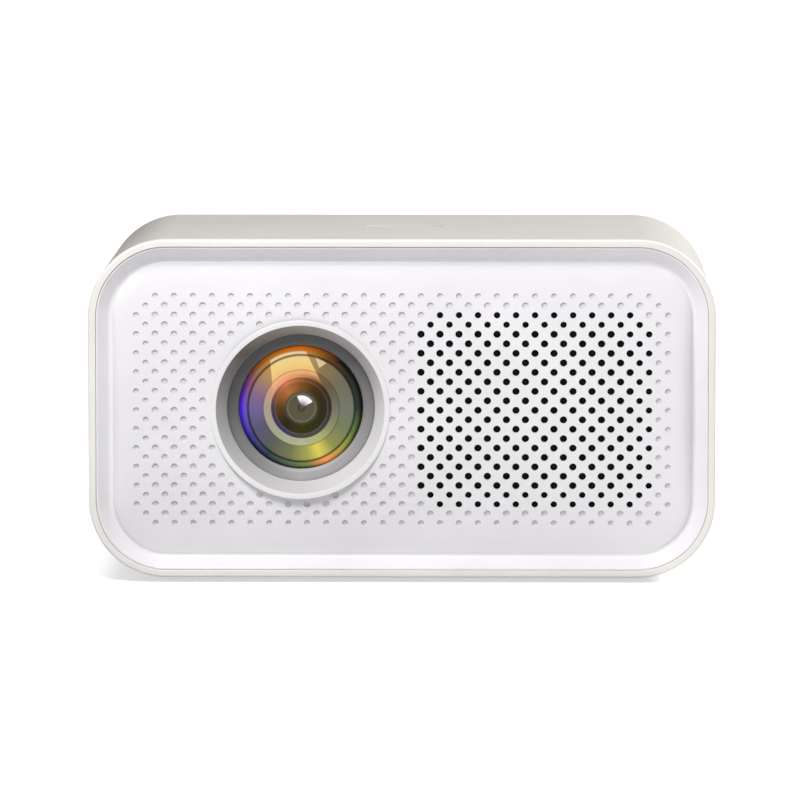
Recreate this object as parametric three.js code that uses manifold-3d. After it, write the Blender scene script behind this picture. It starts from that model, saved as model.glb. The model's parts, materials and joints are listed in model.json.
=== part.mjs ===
// Home projector: a rounded sleeve with a perforated front panel, a projection lens with powered focus,
// a folded single-panel optical engine, a cooling fan, a loudspeaker and a rear connector panel.
// Millimetres, +Z up, the front faces -Y, and the feet stand on Z = 0.
import * as THREE from 'three';
import { mergeVertices } from 'three/addons/utils/BufferGeometryUtils.js';
import Module from 'manifold-3d';

const wasm = await Module();
wasm.setup();

// ---- driving dimensions ----
const GAP = 0.3;                          // clearance between pieces that meet
const BODY = { width: 185, depth: 110, height: 100, radius: 23, wall: 2.2 };
const FOOT = { radius: 6, height: 1.45, x: 62, yFront: -31, yRear: 38 };
const FLOOR_GAP = 1.5;                    // underside of the sleeve above the floor
const FRONT = -BODY.depth / 2;
const REAR = BODY.depth / 2;
const MID_Z = FLOOR_GAP + BODY.height / 2;
const TOP_Z = FLOOR_GAP + BODY.height;
const INNER_FLOOR = FLOOR_GAP + BODY.wall;
const INNER_TOP = TOP_Z - BODY.wall;

const BEZEL_DEPTH = 2.6;
const PANEL_INSET = BODY.wall + GAP;      // outline of both end panels
const PANEL = {
  width: BODY.width - 2 * PANEL_INSET,
  height: BODY.height - 2 * PANEL_INSET,
  radius: BODY.radius - PANEL_INSET,
};
const CHANNEL = { rim: 0.6, slope: 3.0, depth: 3.4, valley: 1.1 };
const PANEL_FRONT = FRONT + 0.4;
const PANEL_BACK = FRONT + 6.6;
const PILLOW_FRONT = FRONT + 0.7;
const SKIN = 2;

const LENS = { x: -30, z: MID_Z - 0.3, barrel: 21.4, glass: 18.4, bore: 16, front: FRONT + 8.6, back: -17 };
const OPTICS = { stop: -33.4, stopHole: 4.2, middle: -31.6, rear: -23.6 };
const FUNNEL = { flange: 26.5, mouth: 24.9, body: 25.4, throat: 21.8, front: FRONT, back: FRONT + 12 };
const GUIDE_Y = -26;                      // the pin in the keyway stops the barrel turning
const MOUNT = { front: -40, outer: 24, flange: 27, thick: 2.4 };
const FOCUS = { teeth: 60, pinionTeeth: 10, module: 1, width: 6, front: -36 };
const MOTOR = { angle: THREE.MathUtils.degToRad(215), radius: 7.5, length: 8.6 };

const ENGINE = { x0: -62, x1: 58, y0: -18, y1: 34, z0: 28, z1: 75, wall: 2, axisY: 8 };
const FAN = { x: 52, z: MID_Z, size: 60, y0: 40, y1: 50, bore: 28, hub: 10, blades: 7 };
const FAN_VENT = { rows: 9, x0: FAN.x - 26, x1: FAN.x + 26, z: FAN.z - 24 };
const LEFT_VENT = { rows: 5, x0: -70, x1: -16, z: MID_Z + 8 };
const VENT_SLOT = { height: 3.2, pitch: 6 };
const SPEAKER = { x: 39.2, z: MID_Z - 0.4, front: -47.9, rim: 25 };
const BUTTON = { length: 22, width: 12.4, y: 2, boardZ: 90.4, postX: 17, postRadius: 2.5 };
const IR = { x: 0, z: MID_Z - 16 };
const BOARD = { x0: -76, x1: 16, y0: -40, y1: 49, z0: 9.5, thick: 1.6 };
const PORT_Z = BOARD.z0 + BOARD.thick + 3.5;
const PORTS = { dc: -72, hdmi: -50, usb: -28, av: -9 };
const HDMI = { width: 15, height: 6.2, wall: 0.5 };
const USB = { width: 13.6, height: 6.6, wall: 0.5 };
const PANEL_REAR_FACE = REAR - 1.2;
const PANEL_REAR_BACK = PANEL_REAR_FACE - 2.2;
const BOSS = { offset: 12.2, radius: 4.5, hole: 1.7, y0: 40 };
const SCREW = { shank: 1.3, head: 2.7, headHeight: 1, length: 10 };
const TRAY = { width: 148, depth: 92, y: 2, low: INNER_FLOOR + 0.7, thick: 2 };
const NUT = { radius: 5.5, hole: 3.2, height: 7 };
const PILLAR_HOLE = 4;                    // half width of the holes that clear the engine's pillars

// ---- shape helpers ----
function weld(geometry) {
  const bare = geometry.index ? geometry.toNonIndexed() : geometry.clone();
  bare.deleteAttribute('normal');
  bare.deleteAttribute('uv');
  const merged = mergeVertices(bare, 1e-4);
  const kept = [];
  const index = merged.index.array;
  for (let i = 0; i < index.length; i += 3) {
    const [a, b, c] = [index[i], index[i + 1], index[i + 2]];
    if (a !== b && b !== c && c !== a) kept.push(a, b, c);
  }
  merged.setIndex(kept);
  return merged;
}

function toSolid(geometry) {
  const welded = weld(geometry);
  const mesh = new wasm.Mesh({
    numProp: 3,
    vertProperties: new Float32Array(welded.attributes.position.array),
    triVerts: new Uint32Array(welded.index.array),
  });
  return new wasm.Manifold(mesh);
}

function toGeometry(solid) {
  const mesh = solid.getMesh();
  const geometry = new THREE.BufferGeometry();
  geometry.setAttribute('position', new THREE.BufferAttribute(mesh.vertProperties, 3));
  geometry.setIndex(new THREE.BufferAttribute(mesh.triVerts, 1));
  return geometry;
}

function join(first, ...others) {
  return toGeometry(others.reduce((sum, next) => sum.add(toSolid(next)), toSolid(first)));
}

function cut(first, ...tools) {
  return toGeometry(tools.reduce((rest, tool) => rest.subtract(toSolid(tool)), toSolid(first)));
}

function box(x0, x1, y0, y1, z0, z1) {
  const geometry = new THREE.BoxGeometry(x1 - x0, y1 - y0, z1 - z0);
  return geometry.translate((x0 + x1) / 2, (y0 + y1) / 2, (z0 + z1) / 2);
}

function roundedRect(width, height, radius, Kind = THREE.Shape) {
  const [w, h] = [width / 2, height / 2];
  const shape = new Kind();
  shape.moveTo(-w + radius, -h);
  shape.lineTo(w - radius, -h);
  shape.absarc(w - radius, -h + radius, radius, -Math.PI / 2, 0);
  shape.lineTo(w, h - radius);
  shape.absarc(w - radius, h - radius, radius, 0, Math.PI / 2);
  shape.lineTo(-w + radius, h);
  shape.absarc(-w + radius, h - radius, radius, Math.PI / 2, Math.PI);
  shape.lineTo(-w, -h + radius);
  shape.absarc(-w + radius, -h + radius, radius, Math.PI, 1.5 * Math.PI);
  return shape;
}

// A shape drawn in X and Z, pushed along Y from y0 to y1. A bevel draws in the face at y0.
function extrudeY(shape, x, z, y0, y1, segments = 6, bevel = null) {
  const options = { depth: y1 - y0, bevelEnabled: false, curveSegments: segments };
  if (bevel) {
    Object.assign(options, { bevelEnabled: true, bevelSize: bevel.in, bevelOffset: -bevel.in,
      bevelThickness: bevel.deep, bevelSegments: bevel.steps ?? 1 });
    options.depth = y1 - y0 - bevel.deep;
  }
  const geometry = new THREE.ExtrudeGeometry(shape, options);
  return geometry.rotateX(Math.PI / 2).translate(x, y1, z);
}

function extrudeZ(shape, x, y, z0, z1, segments = 6) {
  const options = { depth: z1 - z0, bevelEnabled: false, curveSegments: segments };
  return new THREE.ExtrudeGeometry(shape, options).translate(x, y, z0);
}

// A block whose front edge is drawn in by a bevel and whose back is square.
function bevelledY(width, height, radius, y0, y1, bevel, segments = 6) {
  const bevelled = extrudeY(roundedRect(width, height, radius), 0, MID_Z, y0, y1 + 5, segments, bevel);
  return cut(bevelled, box(-BODY.width, BODY.width, y1, y1 + 20, -10, TOP_Z + 10));
}

// A profile of [radius, position] points turned about a line along Y, X or Z.
function turnY(profile, x, z, segments = 24) {
  const points = profile.map(([radius, y]) => new THREE.Vector2(radius, y));
  return new THREE.LatheGeometry(points, segments).translate(x, 0, z);
}

function turnX(profile, y, z, segments = 20) {
  return turnY(profile, 0, 0, segments).rotateZ(-Math.PI / 2).translate(0, y, z);
}

function turnZ(profile, x, y, segments = 20) {
  return turnY(profile, 0, 0, segments).rotateX(Math.PI / 2).translate(x, y, 0);
}

const disc = (radius, low, high) => [[0, low], [radius, low], [radius, high], [0, high]];
const tube = (inner, outer, low, high) =>
  [[inner, low], [outer, low], [outer, high], [inner, high], [inner, low]];

// ---- materials ----
const finish = (color, roughness, metalness = 0, extra = {}) =>
  new THREE.MeshStandardMaterial({ color, roughness, metalness, ...extra });
const MATERIAL = {
  shell: () => finish(0xcfcbc4, 0.55),
  bezel: () => finish(0xf0ece6, 0.4),
  panel: () => finish(0xeeedf0, 0.45),
  funnel: () => finish(0xc9c9cc, 0.4),
  darkPlastic: () => finish(0x222326, 0.6),
  greyRing: () => finish(0x77787c, 0.4, 0.5),
  glass: () => finish(0x556070, 0.05, 0, { transparent: true, opacity: 0.35 }),
  mirror: () => finish(0xdddddd, 0.05, 1),
  aluminium: () => finish(0xb9bbbe, 0.4, 1),
  steel: () => finish(0x8d8f92, 0.35, 1),
  brass: () => finish(0xb08d4a, 0.35, 1),
  board: () => finish(0x1f5a3a, 0.6),
  rubber: () => finish(0x2a2a2b, 0.9),
  cloth: () => finish(0x0d0d0e, 1),
  engine: () => finish(0x2d2e31, 0.7),
};

const projector = new THREE.Group();

function addNode(name, geometry, material) {
  const mesh = new THREE.Mesh(weld(geometry), material);
  mesh.name = name;
  projector.add(mesh);
}

// ---- housing ----
function bodyWall(y0, y1) {
  const { width, height, radius, wall } = BODY;
  const outline = roundedRect(width, height, radius);
  outline.holes.push(roundedRect(width - 2 * wall, height - 2 * wall, radius - wall, THREE.Path));
  return extrudeY(outline, 0, MID_Z, y0, y1, 6);
}

// The thin lighter ring bonded to the front edge of the sleeve.
const frontBezel = () => bodyWall(FRONT, FRONT + BEZEL_DEPTH);

function housingSleeve() {
  const sleeve = bodyWall(FRONT + BEZEL_DEPTH + 0.05, REAR);
  const bosses = bossPlaces().map(([x, z]) =>
    turnY(disc(BOSS.radius, BOSS.y0, PANEL_REAR_BACK - GAP), x, z, 12));
  const bossHoles = bossPlaces().map(([x, z]) => turnY(disc(BOSS.hole, BOSS.y0 + 2, REAR), x, z, 8));
  const posts = [-BUTTON.postX, BUTTON.postX].map((x) =>
    turnZ(disc(BUTTON.postRadius, BUTTON.boardZ, INNER_TOP + 0.5), x, BUTTON.y, 10));
  const buttonHole = roundedRect(BUTTON.length + 2 * GAP, BUTTON.width + 2 * GAP, BUTTON.width / 2 + GAP);
  return cut(
    join(sleeve, ...bosses, ...posts),
    ...bossHoles,
    extrudeZ(buttonHole, 0, BUTTON.y, INNER_TOP - 1, TOP_Z + 1, 4),
    turnZ(disc(NUT.radius + GAP, -1, INNER_FLOOR + 1), 0, 0, 16),
  );
}

function bossPlaces() {
  const x = BODY.width / 2 - BODY.radius + BOSS.offset;
  const z = BODY.height / 2 - BODY.radius + BOSS.offset;
  return [[-x, MID_Z - z], [x, MID_Z - z], [-x, MID_Z + z], [x, MID_Z + z]];
}

function frontPanel() {
  const outline = roundedRect(PANEL.width, PANEL.height, PANEL.radius);
  const plate = extrudeY(outline, 0, MID_Z, PANEL_FRONT, PANEL_BACK);
  const { rim, slope, depth, valley } = CHANNEL;
  const channel = bevelledCavity(rim, slope, depth);
  const pillowInset = rim + slope + valley;
  const pillow = bevelledY(PANEL.width - 2 * pillowInset, PANEL.height - 2 * pillowInset,
    PANEL.radius - pillowInset, PILLOW_FRONT, PANEL_BACK - 0.2, { in: 2.2, deep: 1.6, steps: 2 });
  const hollow = extrudeY(
    roundedRect(PANEL.width - 2 * (pillowInset + SKIN), PANEL.height - 2 * (pillowInset + SKIN), 12),
    0, MID_Z, PILLOW_FRONT + SKIN, PANEL_BACK + 1);
  const lensHole = turnY(disc(FUNNEL.body + GAP, FRONT - 1, PANEL_BACK + 1), LENS.x, LENS.z, 36);
  return cut(join(cut(plate, channel), pillow), hollow, lensHole);
}

// The space in front of the channel's floor: wide at the rim, narrower by the slope at the floor.
function bevelledCavity(rim, slope, depth) {
  const floor = PANEL_FRONT + depth;
  const wide = roundedRect(PANEL.width - 2 * rim, PANEL.height - 2 * rim, PANEL.radius - rim);
  const options = { depth: 2, bevelEnabled: true, bevelSize: slope, bevelOffset: -slope,
    bevelThickness: depth, bevelSegments: 1, curveSegments: 6 };
  const cavity = new THREE.ExtrudeGeometry(wide, options).rotateX(-Math.PI / 2);
  return cavity.rotateY(Math.PI).translate(0, floor - depth - 2, MID_Z);
}

function rearPanel() {
  const plate = extrudeY(roundedRect(PANEL.width, PANEL.height, PANEL.radius), 0, MID_Z,
    PANEL_REAR_BACK, PANEL_REAR_FACE);
  const slots = [...ventSlots(FAN_VENT), ...ventSlots(LEFT_VENT)];
  const sockets = [
    turnY(disc(4.6, PANEL_REAR_BACK - 1, REAR), PORTS.dc, PORT_Z, 18),
    portHole(PORTS.hdmi, HDMI),
    portHole(PORTS.usb, USB),
    turnY(disc(3.6, PANEL_REAR_BACK - 1, REAR), PORTS.av, PORT_Z, 16),
    turnY(disc(4.3, PANEL_REAR_BACK - 1, REAR), IR.x, IR.z, 18),
  ];
  const screwHoles = bossPlaces().map(([x, z]) =>
    turnY(disc(BOSS.hole, PANEL_REAR_BACK - 1, REAR), x, z, 10));
  return cut(plate, ...slots, ...sockets, ...screwHoles);
}

function ventSlots({ rows, x0, x1, z }) {
  return Array.from({ length: rows }, (_, row) => z + row * VENT_SLOT.pitch).map((middle) =>
    box(x0, x1, PANEL_REAR_BACK - 1, REAR, middle - VENT_SLOT.height / 2, middle + VENT_SLOT.height / 2));
}

function portHole(x, port) {
  const [w, h] = [port.width / 2 + GAP, port.height / 2 + GAP];
  return box(x - w, x + w, PANEL_REAR_BACK - 1, REAR, PORT_Z - h, PORT_Z + h);
}

function chassisTray() {
  const top = TRAY.low + TRAY.thick - 0.2;
  const plate = extrudeZ(roundedRect(TRAY.width, TRAY.depth, 6), 0, TRAY.y, TRAY.low,
    TRAY.low + TRAY.thick, 3);
  const bosses = [[-66, -34], [8, -34], [-66, 40], [8, 40]].map(([x, y]) =>
    box(x - 3.5, x + 3.5, y - 3.5, y + 3.5, top, BOARD.z0 - 0.05));
  const pillars = [[-50, 24], [50, 24], [50, -10], [-10, -10]].map(([x, y]) =>
    box(x - 3, x + 3, y - 3, y + 3, top, ENGINE.z0 - 0.05));
  const nutHole = turnZ(disc(NUT.radius + GAP, 0, 12), 0, 0, 16);
  return cut(join(plate, ...bosses, ...pillars), nutHole);
}

const tripodNut = () => turnZ(tube(NUT.hole, NUT.radius, FLOOR_GAP, FLOOR_GAP + NUT.height), 0, 0, 20);

function foot(x, y) {
  const { radius, height } = FOOT;
  return turnZ([[0, 0], [radius - 0.5, 0], [radius, 0.5], [radius, height], [0, height]], x, y, 20);
}

function rearScrew(x, z) {
  const { shank, head, headHeight, length } = SCREW;
  const face = PANEL_REAR_FACE + 0.05;
  return turnY([[0, face - length], [shank, face - length], [shank, face], [head, face],
    [head, face + 0.6 * headHeight], [0.78 * head, face + headHeight], [0, face + headHeight]], x, z, 12);
}

// ---- lens and focus drive ----
function lensTrimRing() {
  const { flange, mouth, body, throat, front, back } = FUNNEL;
  const underFlange = PILLOW_FRONT - 0.05;
  return turnY([[mouth, front], [mouth + 0.6, front], [flange, front + 0.2], [flange, underFlange],
    [body, underFlange], [body, back], [throat, back], [throat, back - 2], [mouth, front]],
  LENS.x, LENS.z, 40);
}

function lensRetainer() {
  return turnY(tube(LENS.glass, LENS.barrel, LENS.front, LENS.front + 2), LENS.x, LENS.z, 36);
}

function lensFront() {
  const { front, glass } = LENS;
  return turnY([[0, front + 0.6], [6, front + 0.9], [12, front + 1.8], [glass - 0.1, front + 3.9],
    [glass - 0.1, front + 6.9], [10, front + 7.9], [0, front + 8.5]], LENS.x, LENS.z, 32);
}

function lensBarrel() {
  const { front, back, glass, barrel: outer, bore } = LENS;
  const [rim, shoulder] = [front + 2.3, front + 7.3];
  const barrel = turnY([[glass + 0.2, rim], [outer, rim], [outer, back], [bore, back],
    [bore, shoulder], [glass + 0.2, shoulder], [glass + 0.2, rim]], LENS.x, LENS.z, 36);
  const keyTop = LENS.z + outer;
  const keyway = box(LENS.x - 1.4, LENS.x + 1.4, GUIDE_Y - 4, GUIDE_Y + 4, keyTop - 1.6, keyTop + 2);
  return cut(barrel, keyway);
}

const inBarrel = LENS.bore - 0.2;
const apertureStop = () =>
  turnY(tube(OPTICS.stopHole, inBarrel, OPTICS.stop, OPTICS.stop + 0.8), LENS.x, LENS.z, 28);
const lensMiddle = () => turnY([[0, OPTICS.middle], [inBarrel, OPTICS.middle + 2],
  [inBarrel, OPTICS.middle + 3.6], [0, OPTICS.middle + 5.2]], LENS.x, LENS.z, 24);
const lensRear = () => turnY([[0, OPTICS.rear], [inBarrel, OPTICS.rear + 1.6],
  [inBarrel, OPTICS.rear + 3.6], [0, OPTICS.rear + 5.6]], LENS.x, LENS.z, 24);

function lensMount() {
  const { front, outer, flange, thick } = MOUNT;
  const bore = LENS.barrel + GAP;
  const back = ENGINE.y0 - GAP;
  const mount = turnY([[bore, front], [outer, front], [outer, back - thick], [flange, back - thick],
    [flange, back], [bore, back], [bore, front]], LENS.x, LENS.z, 36);
  const pinHole = turnZ(disc(1.2, LENS.z + bore - 2, LENS.z + outer + 2), LENS.x, GUIDE_Y, 10);
  return cut(mount, pinHole);
}

const guidePin = () =>
  turnZ(disc(0.95, LENS.z + LENS.barrel - 0.9, LENS.z + MOUNT.outer + 0.4), LENS.x, GUIDE_Y, 10);

// A toothed outline: each tooth is narrower than its share of the pitch, which leaves backlash.
function gearShape(teeth, bore, turn) {
  const pitch = (teeth * FOCUS.module) / 2;
  const [root, tip] = [pitch - 1.15 * FOCUS.module, pitch + 0.8 * FOCUS.module];
  const step = (2 * Math.PI) / teeth;
  const [wide, narrow] = [0.62 / pitch, 0.3 / pitch];
  const shape = new THREE.Shape();
  for (let tooth = 0; tooth < teeth; tooth += 1) {
    const angle = turn + tooth * step;
    const flank = [[root, -1.3 * wide], [tip, -narrow], [tip, narrow], [root, 1.3 * wide]];
    flank.forEach(([radius, offset], i) => {
      const [x, y] = [radius * Math.cos(angle + offset), radius * Math.sin(angle + offset)];
      if (tooth === 0 && i === 0) shape.moveTo(x, y);
      else shape.lineTo(x, y);
    });
  }
  shape.closePath();
  shape.holes.push(new THREE.Path().absarc(0, 0, bore, 0, 2 * Math.PI, true));
  return shape;
}

function focusRing() {
  const { teeth, front, width } = FOCUS;
  return extrudeY(gearShape(teeth, MOUNT.outer + GAP, MOTOR.angle), LENS.x, LENS.z, front, front + width, 18);
}

const PINION = {
  x: LENS.x + ((FOCUS.teeth + FOCUS.pinionTeeth) / 2) * FOCUS.module * 1.006 * Math.cos(MOTOR.angle),
  z: LENS.z + ((FOCUS.teeth + FOCUS.pinionTeeth) / 2) * FOCUS.module * 1.006 * Math.sin(MOTOR.angle),
};

function focusPinion() {
  const { pinionTeeth, front, width } = FOCUS;
  const halfTooth = Math.PI / pinionTeeth;
  return extrudeY(gearShape(pinionTeeth, 1.1, MOTOR.angle + Math.PI + halfTooth), PINION.x, PINION.z,
    front, front + width, 4);
}

function focusMotor() {
  const front = FOCUS.front + FOCUS.width + 2;
  const { radius, length } = MOTOR;
  return turnY([[0, FOCUS.front], [0.8, FOCUS.front], [0.8, front], [radius, front],
    [radius, front + length], [0, front + length]], PINION.x, PINION.z, 24);
}

function motorBracket() {
  const front = FOCUS.front + FOCUS.width + 0.5;
  const plate = box(PINION.x - 8, PINION.x + 8, front, front + 1.2, PINION.z - 9.5, PINION.z + 9.5);
  const back = ENGINE.y0 - GAP;
  const leg = box(PINION.x - 8, PINION.x + 8, front, back, PINION.z - 9.5, PINION.z - 8.3);
  const pad = box(PINION.x - 8, PINION.x + 8, back - 0.9, back, PINION.z - 9.5, PINION.z + 9.5);
  const flangeRoom = turnY(disc(MOUNT.flange + GAP, front - 1, back + 1), LENS.x, LENS.z, 36);
  const shaftHole = turnY(disc(1.4, front - 1, front + 3), PINION.x, PINION.z, 10);
  return cut(join(plate, leg, pad), shaftHole, flangeRoom);
}

// ---- optical engine ----
const COVER_INSIDE = ENGINE.z1 - ENGINE.wall;
const coverScrewPlaces = () => [[-56, 28], [52, 28]];

function engineHalf(low, high, openTop) {
  const { x0, x1, y0, y1, wall, axisY } = ENGINE;
  const shell = box(x0, x1, y0, y1, low, high);
  const [inLow, inHigh] = openTop ? [low + wall, high + 1] : [low - 1, high - wall];
  const room = box(x0 + wall, x1 - wall, y0 + wall, y1 - wall, inLow, inHigh);
  const lensHole = turnY(disc(22, y0 - 1, y0 + wall + 1), LENS.x, LENS.z, 24);
  const ledHole = turnX(disc(8, x1 - wall - 1, x1 + 1), axisY, LENS.z, 20);
  return cut(shell, room, lensHole, ledHole);
}

const engineBase = () => {
  const bosses = coverScrewPlaces().map(([x, y]) =>
    turnZ(disc(3.4, ENGINE.z0 + 1, COVER_INSIDE - 0.15), x, y, 10));
  const holes = coverScrewPlaces().map(([x, y]) => turnZ(disc(1.5, COVER_INSIDE - 12, ENGINE.z1), x, y, 8));
  return cut(join(engineHalf(ENGINE.z0, LENS.z - 0.15, true), ...bosses), ...holes);
};
const engineCover = () => {
  const holes = coverScrewPlaces().map(([x, y]) => turnZ(disc(1.6, ENGINE.z1 - 5, ENGINE.z1 + 1), x, y, 8));
  return cut(engineHalf(LENS.z + 0.15, ENGINE.z1, false), ...holes);
};

const coverScrew = (x, y) => {
  const head = ENGINE.z1 + 0.05;
  return turnZ([[0, head - 8], [1.2, head - 8], [1.2, head], [2.6, head], [2.6, head + 1.6],
    [0, head + 1.6]], x, y, 12);
};

function foldMirror() {
  const mirror = new THREE.BoxGeometry(56, 1.6, 40);
  return mirror.rotateZ(Math.PI / 4).translate(LENS.x + 1, ENGINE.axisY + 1, LENS.z);
}

function plateX(x0, x1, width, height) {
  const { axisY } = ENGINE;
  return box(x0, x1, axisY - width / 2, axisY + width / 2, LENS.z - height / 2, LENS.z + height / 2);
}

function lcdPanel() {
  const window = plateX(13, 18, 36, 30);
  const glass = plateX(14.8, 15.7, 38, 32);
  return join(cut(plateX(14, 16.5, 46, 41), window), glass);
}

const condenserLens = () => turnX([[0, 36], [16, 39], [16, 41], [0, 42]], ENGINE.axisY, LENS.z, 20);
const lightCup = () => turnX([[13, 44], [14, 44], [7, 55], [6, 55], [13, 44]], ENGINE.axisY, LENS.z, 20);

function ledModule() {
  const plate = plateX(ENGINE.x1 + 0.3, ENGINE.x1 + 2.1, 28, 28);
  const wall = ENGINE.x1;
  const dome = turnX([[0, wall - 2.6], [3, wall - 1.8], [5, wall + 0.8], [0, wall + 0.8]],
    ENGINE.axisY, LENS.z, 16);
  return join(plate, dome);
}

function finShape(base, span, fins, thick, rise) {
  const shape = new THREE.Shape();
  const pitch = (span - thick) / (fins - 1);
  shape.moveTo(0, -span / 2);
  for (let fin = 0; fin < fins; fin += 1) {
    const low = -span / 2 + fin * pitch;
    shape.lineTo(rise, low);
    shape.lineTo(rise, low + thick);
    if (fin < fins - 1) {
      shape.lineTo(base, low + thick);
      shape.lineTo(base, low + pitch);
    }
  }
  shape.lineTo(0, span / 2);
  return shape;
}

function ledHeatSink() {
  return extrudeY(finShape(3.5, 54, 9, 1.4, 24), ENGINE.x1 + 2.4, LENS.z, ENGINE.y0, ENGINE.y1);
}

// ---- cooling ----
function fanFrame() {
  const { x, z, size, y0, y1, bore } = FAN;
  const frame = extrudeY(roundedRect(size, size, 5), x, z, y0, y1, 3);
  const ring = cut(frame, turnY(disc(bore, y0 - 1, y1 + 1), x, z, 32));
  const struts = [0, 1, 2].map((i) => new THREE.BoxGeometry(2.4, 1.6, bore + 1)
    .translate(0, 0, (bore + 1) / 2).rotateY((i * 2 * Math.PI) / 3).translate(x, y1 - 1, z));
  return join(ring, ...struts, turnY(disc(11, y1 - 1.8, y1 - 0.2), x, z, 20));
}

function fanRotor() {
  const { x, z, y0, y1, bore, hub, blades } = FAN;
  const reach = bore - hub - 1;
  const middle = turnY(disc(hub, y0 + 1, y1 - 2.4), x, z, 3 * blades);
  const vanes = Array.from({ length: blades }, (_, i) => new THREE.BoxGeometry(6.5, 1, reach)
    .rotateZ(THREE.MathUtils.degToRad(38)).translate(0, 0, hub - 1 + reach / 2)
    .rotateY((i * 2 * Math.PI) / blades).translate(x, y0 + 4.2, z));
  return join(middle, ...vanes);
}

// ---- sound ----
const turnSpeaker = (profile, segments = 28) => turnY(
  profile.map(([radius, back]) => [radius, SPEAKER.front + back]), SPEAKER.x, SPEAKER.z, segments);
const speakerBasket = () => turnSpeaker([[23.4, 0], [SPEAKER.rim, 0], [SPEAKER.rim, 1.4], [15, 13.6],
  [9.5, 13.6], [9.5, 12.6], [14, 12.6], [23.4, 1.4], [23.4, 0]]);
const speakerMagnet = () => turnSpeaker([[8.4, 13.9], [14, 13.9], [14, 22], [0, 22], [0, 18], [8.4, 18],
  [8.4, 13.9]]);
const speakerSurround = () => turnSpeaker([[19.9, 0.9], [20.6, 0.1], [22.2, 0.1], [23.1, 0.9], [23.1, 1.4],
  [19.9, 1.4], [19.9, 0.9]]);
const speakerCone = () => turnSpeaker([[0, 4.6], [5, 5.2], [7, 6.2], [19.2, 1], [19.5, 1.8], [7.8, 7.4],
  [7.8, 14.6], [7, 14.6], [7, 7], [0, 5.4]]);
const speakerGasket = () => turnSpeaker(tube(21.2, 24.8, -3.7, -0.1));
const CLOTH_FRONT = PILLOW_FRONT + SKIN + 0.1;
const grilleCloth = () => box(2.5, 77, CLOTH_FRONT, CLOTH_FRONT + 0.4, MID_Z - 32, MID_Z + 31);

// ---- top button ----
const pill = (length, width) => roundedRect(length, width, width / 2 - 0.001);

function powerButton() {
  const flangeLow = INNER_TOP - 1.9;
  const cap = extrudeZ(pill(BUTTON.length, BUTTON.width), 0, BUTTON.y, flangeLow + 0.1, TOP_Z, 4);
  const wide = pill(BUTTON.length + 3, BUTTON.width + 3);
  const flange = extrudeZ(wide, 0, BUTTON.y, flangeLow, INNER_TOP - 0.2, 4);
  const post = extrudeZ(pill(5, 4), 0, BUTTON.y, BUTTON.boardZ + 4.2, flangeLow + 0.4, 2);
  return join(cap, flange, post);
}

const buttonBoard = () =>
  box(-20, 20, BUTTON.y - 7, BUTTON.y + 7, BUTTON.boardZ - 1.7, BUTTON.boardZ - 0.1);
const keySwitch = () => join(box(-3, 3, BUTTON.y - 3, BUTTON.y + 3, BUTTON.boardZ, BUTTON.boardZ + 2.6),
  extrudeZ(pill(3.6, 3.4), 0, BUTTON.y, BUTTON.boardZ + 2.4, BUTTON.boardZ + 3.6, 2));

// ---- electronics ----
const boardTop = BOARD.z0 + BOARD.thick;

function mainBoard() {
  const { x0, x1, y0, y1, z0 } = BOARD;
  const plate = box(x0, x1, y0, y1, z0, boardTop);
  const nutHole = turnZ(disc(7, z0 - 1, boardTop + 1), 0, 0, 16);
  const half = PILLAR_HOLE;
  const pillarHoles = [[-50, 24], [-10, -10]].map(([x, y]) =>
    box(x - half, x + half, y - half, y + half, z0 - 1, boardTop + 1));
  return cut(plate, nutHole, ...pillarHoles);
}

const processorHeatSink = () => extrudeY(finShape(2, 30, 8, 1.2, 9), 0, 0, -15, 15)
  .rotateY(-Math.PI / 2).translate(-28, -24, boardTop + 0.1);

function socketShell(x, port, length) {
  const front = PANEL_REAR_FACE - 0.6;
  const [w, h] = [port.width / 2, port.height / 2];
  const shell = box(x - w, x + w, front - length, front, PORT_Z - h, PORT_Z + h);
  const mouth = box(x - w + port.wall, x + w - port.wall, front - length + 1, front + 1,
    PORT_Z - h + port.wall, PORT_Z + h - port.wall);
  return cut(shell, mouth);
}

const hdmiSocket = () => socketShell(PORTS.hdmi, HDMI, 11);
const usbSocket = () => socketShell(PORTS.usb, USB, 13);

function roundSocket(x, outer, inner, length, pin) {
  const front = PANEL_REAR_FACE - 0.6;
  const body = box(x - outer, x + outer, front - length, front - 3.6, boardTop + 0.1, PORT_Z + outer);
  const collar = turnY(disc(outer - 0.4, front - 4, front), x, PORT_Z, 20);
  const bore = turnY(disc(inner, front - length + 1.5, front + 1), x, PORT_Z, 16);
  const hollow = cut(join(body, collar), bore);
  return pin ? join(hollow, turnY(disc(pin, front - length + 1, front - 2), x, PORT_Z, 8)) : hollow;
}

const dcInlet = () => roundSocket(PORTS.dc, 4.6, 2.9, 12, 1);
const avJack = () => roundSocket(PORTS.av, 3.6, 1.8, 12, 0);

function irWindow() {
  const [back, face] = [PANEL_REAR_BACK - 0.2, PANEL_REAR_FACE];
  return turnY([[0, back - 1.4], [5.2, back - 1.4], [5.2, back], [4, back], [4, face - 0.1],
    [3.4, face + 0.3], [0, face + 0.3]], IR.x, IR.z, 18);
}

const capacitor = (x) => turnZ(disc(4, boardTop + 0.1, boardTop + 12), x, 12, 14);

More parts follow.
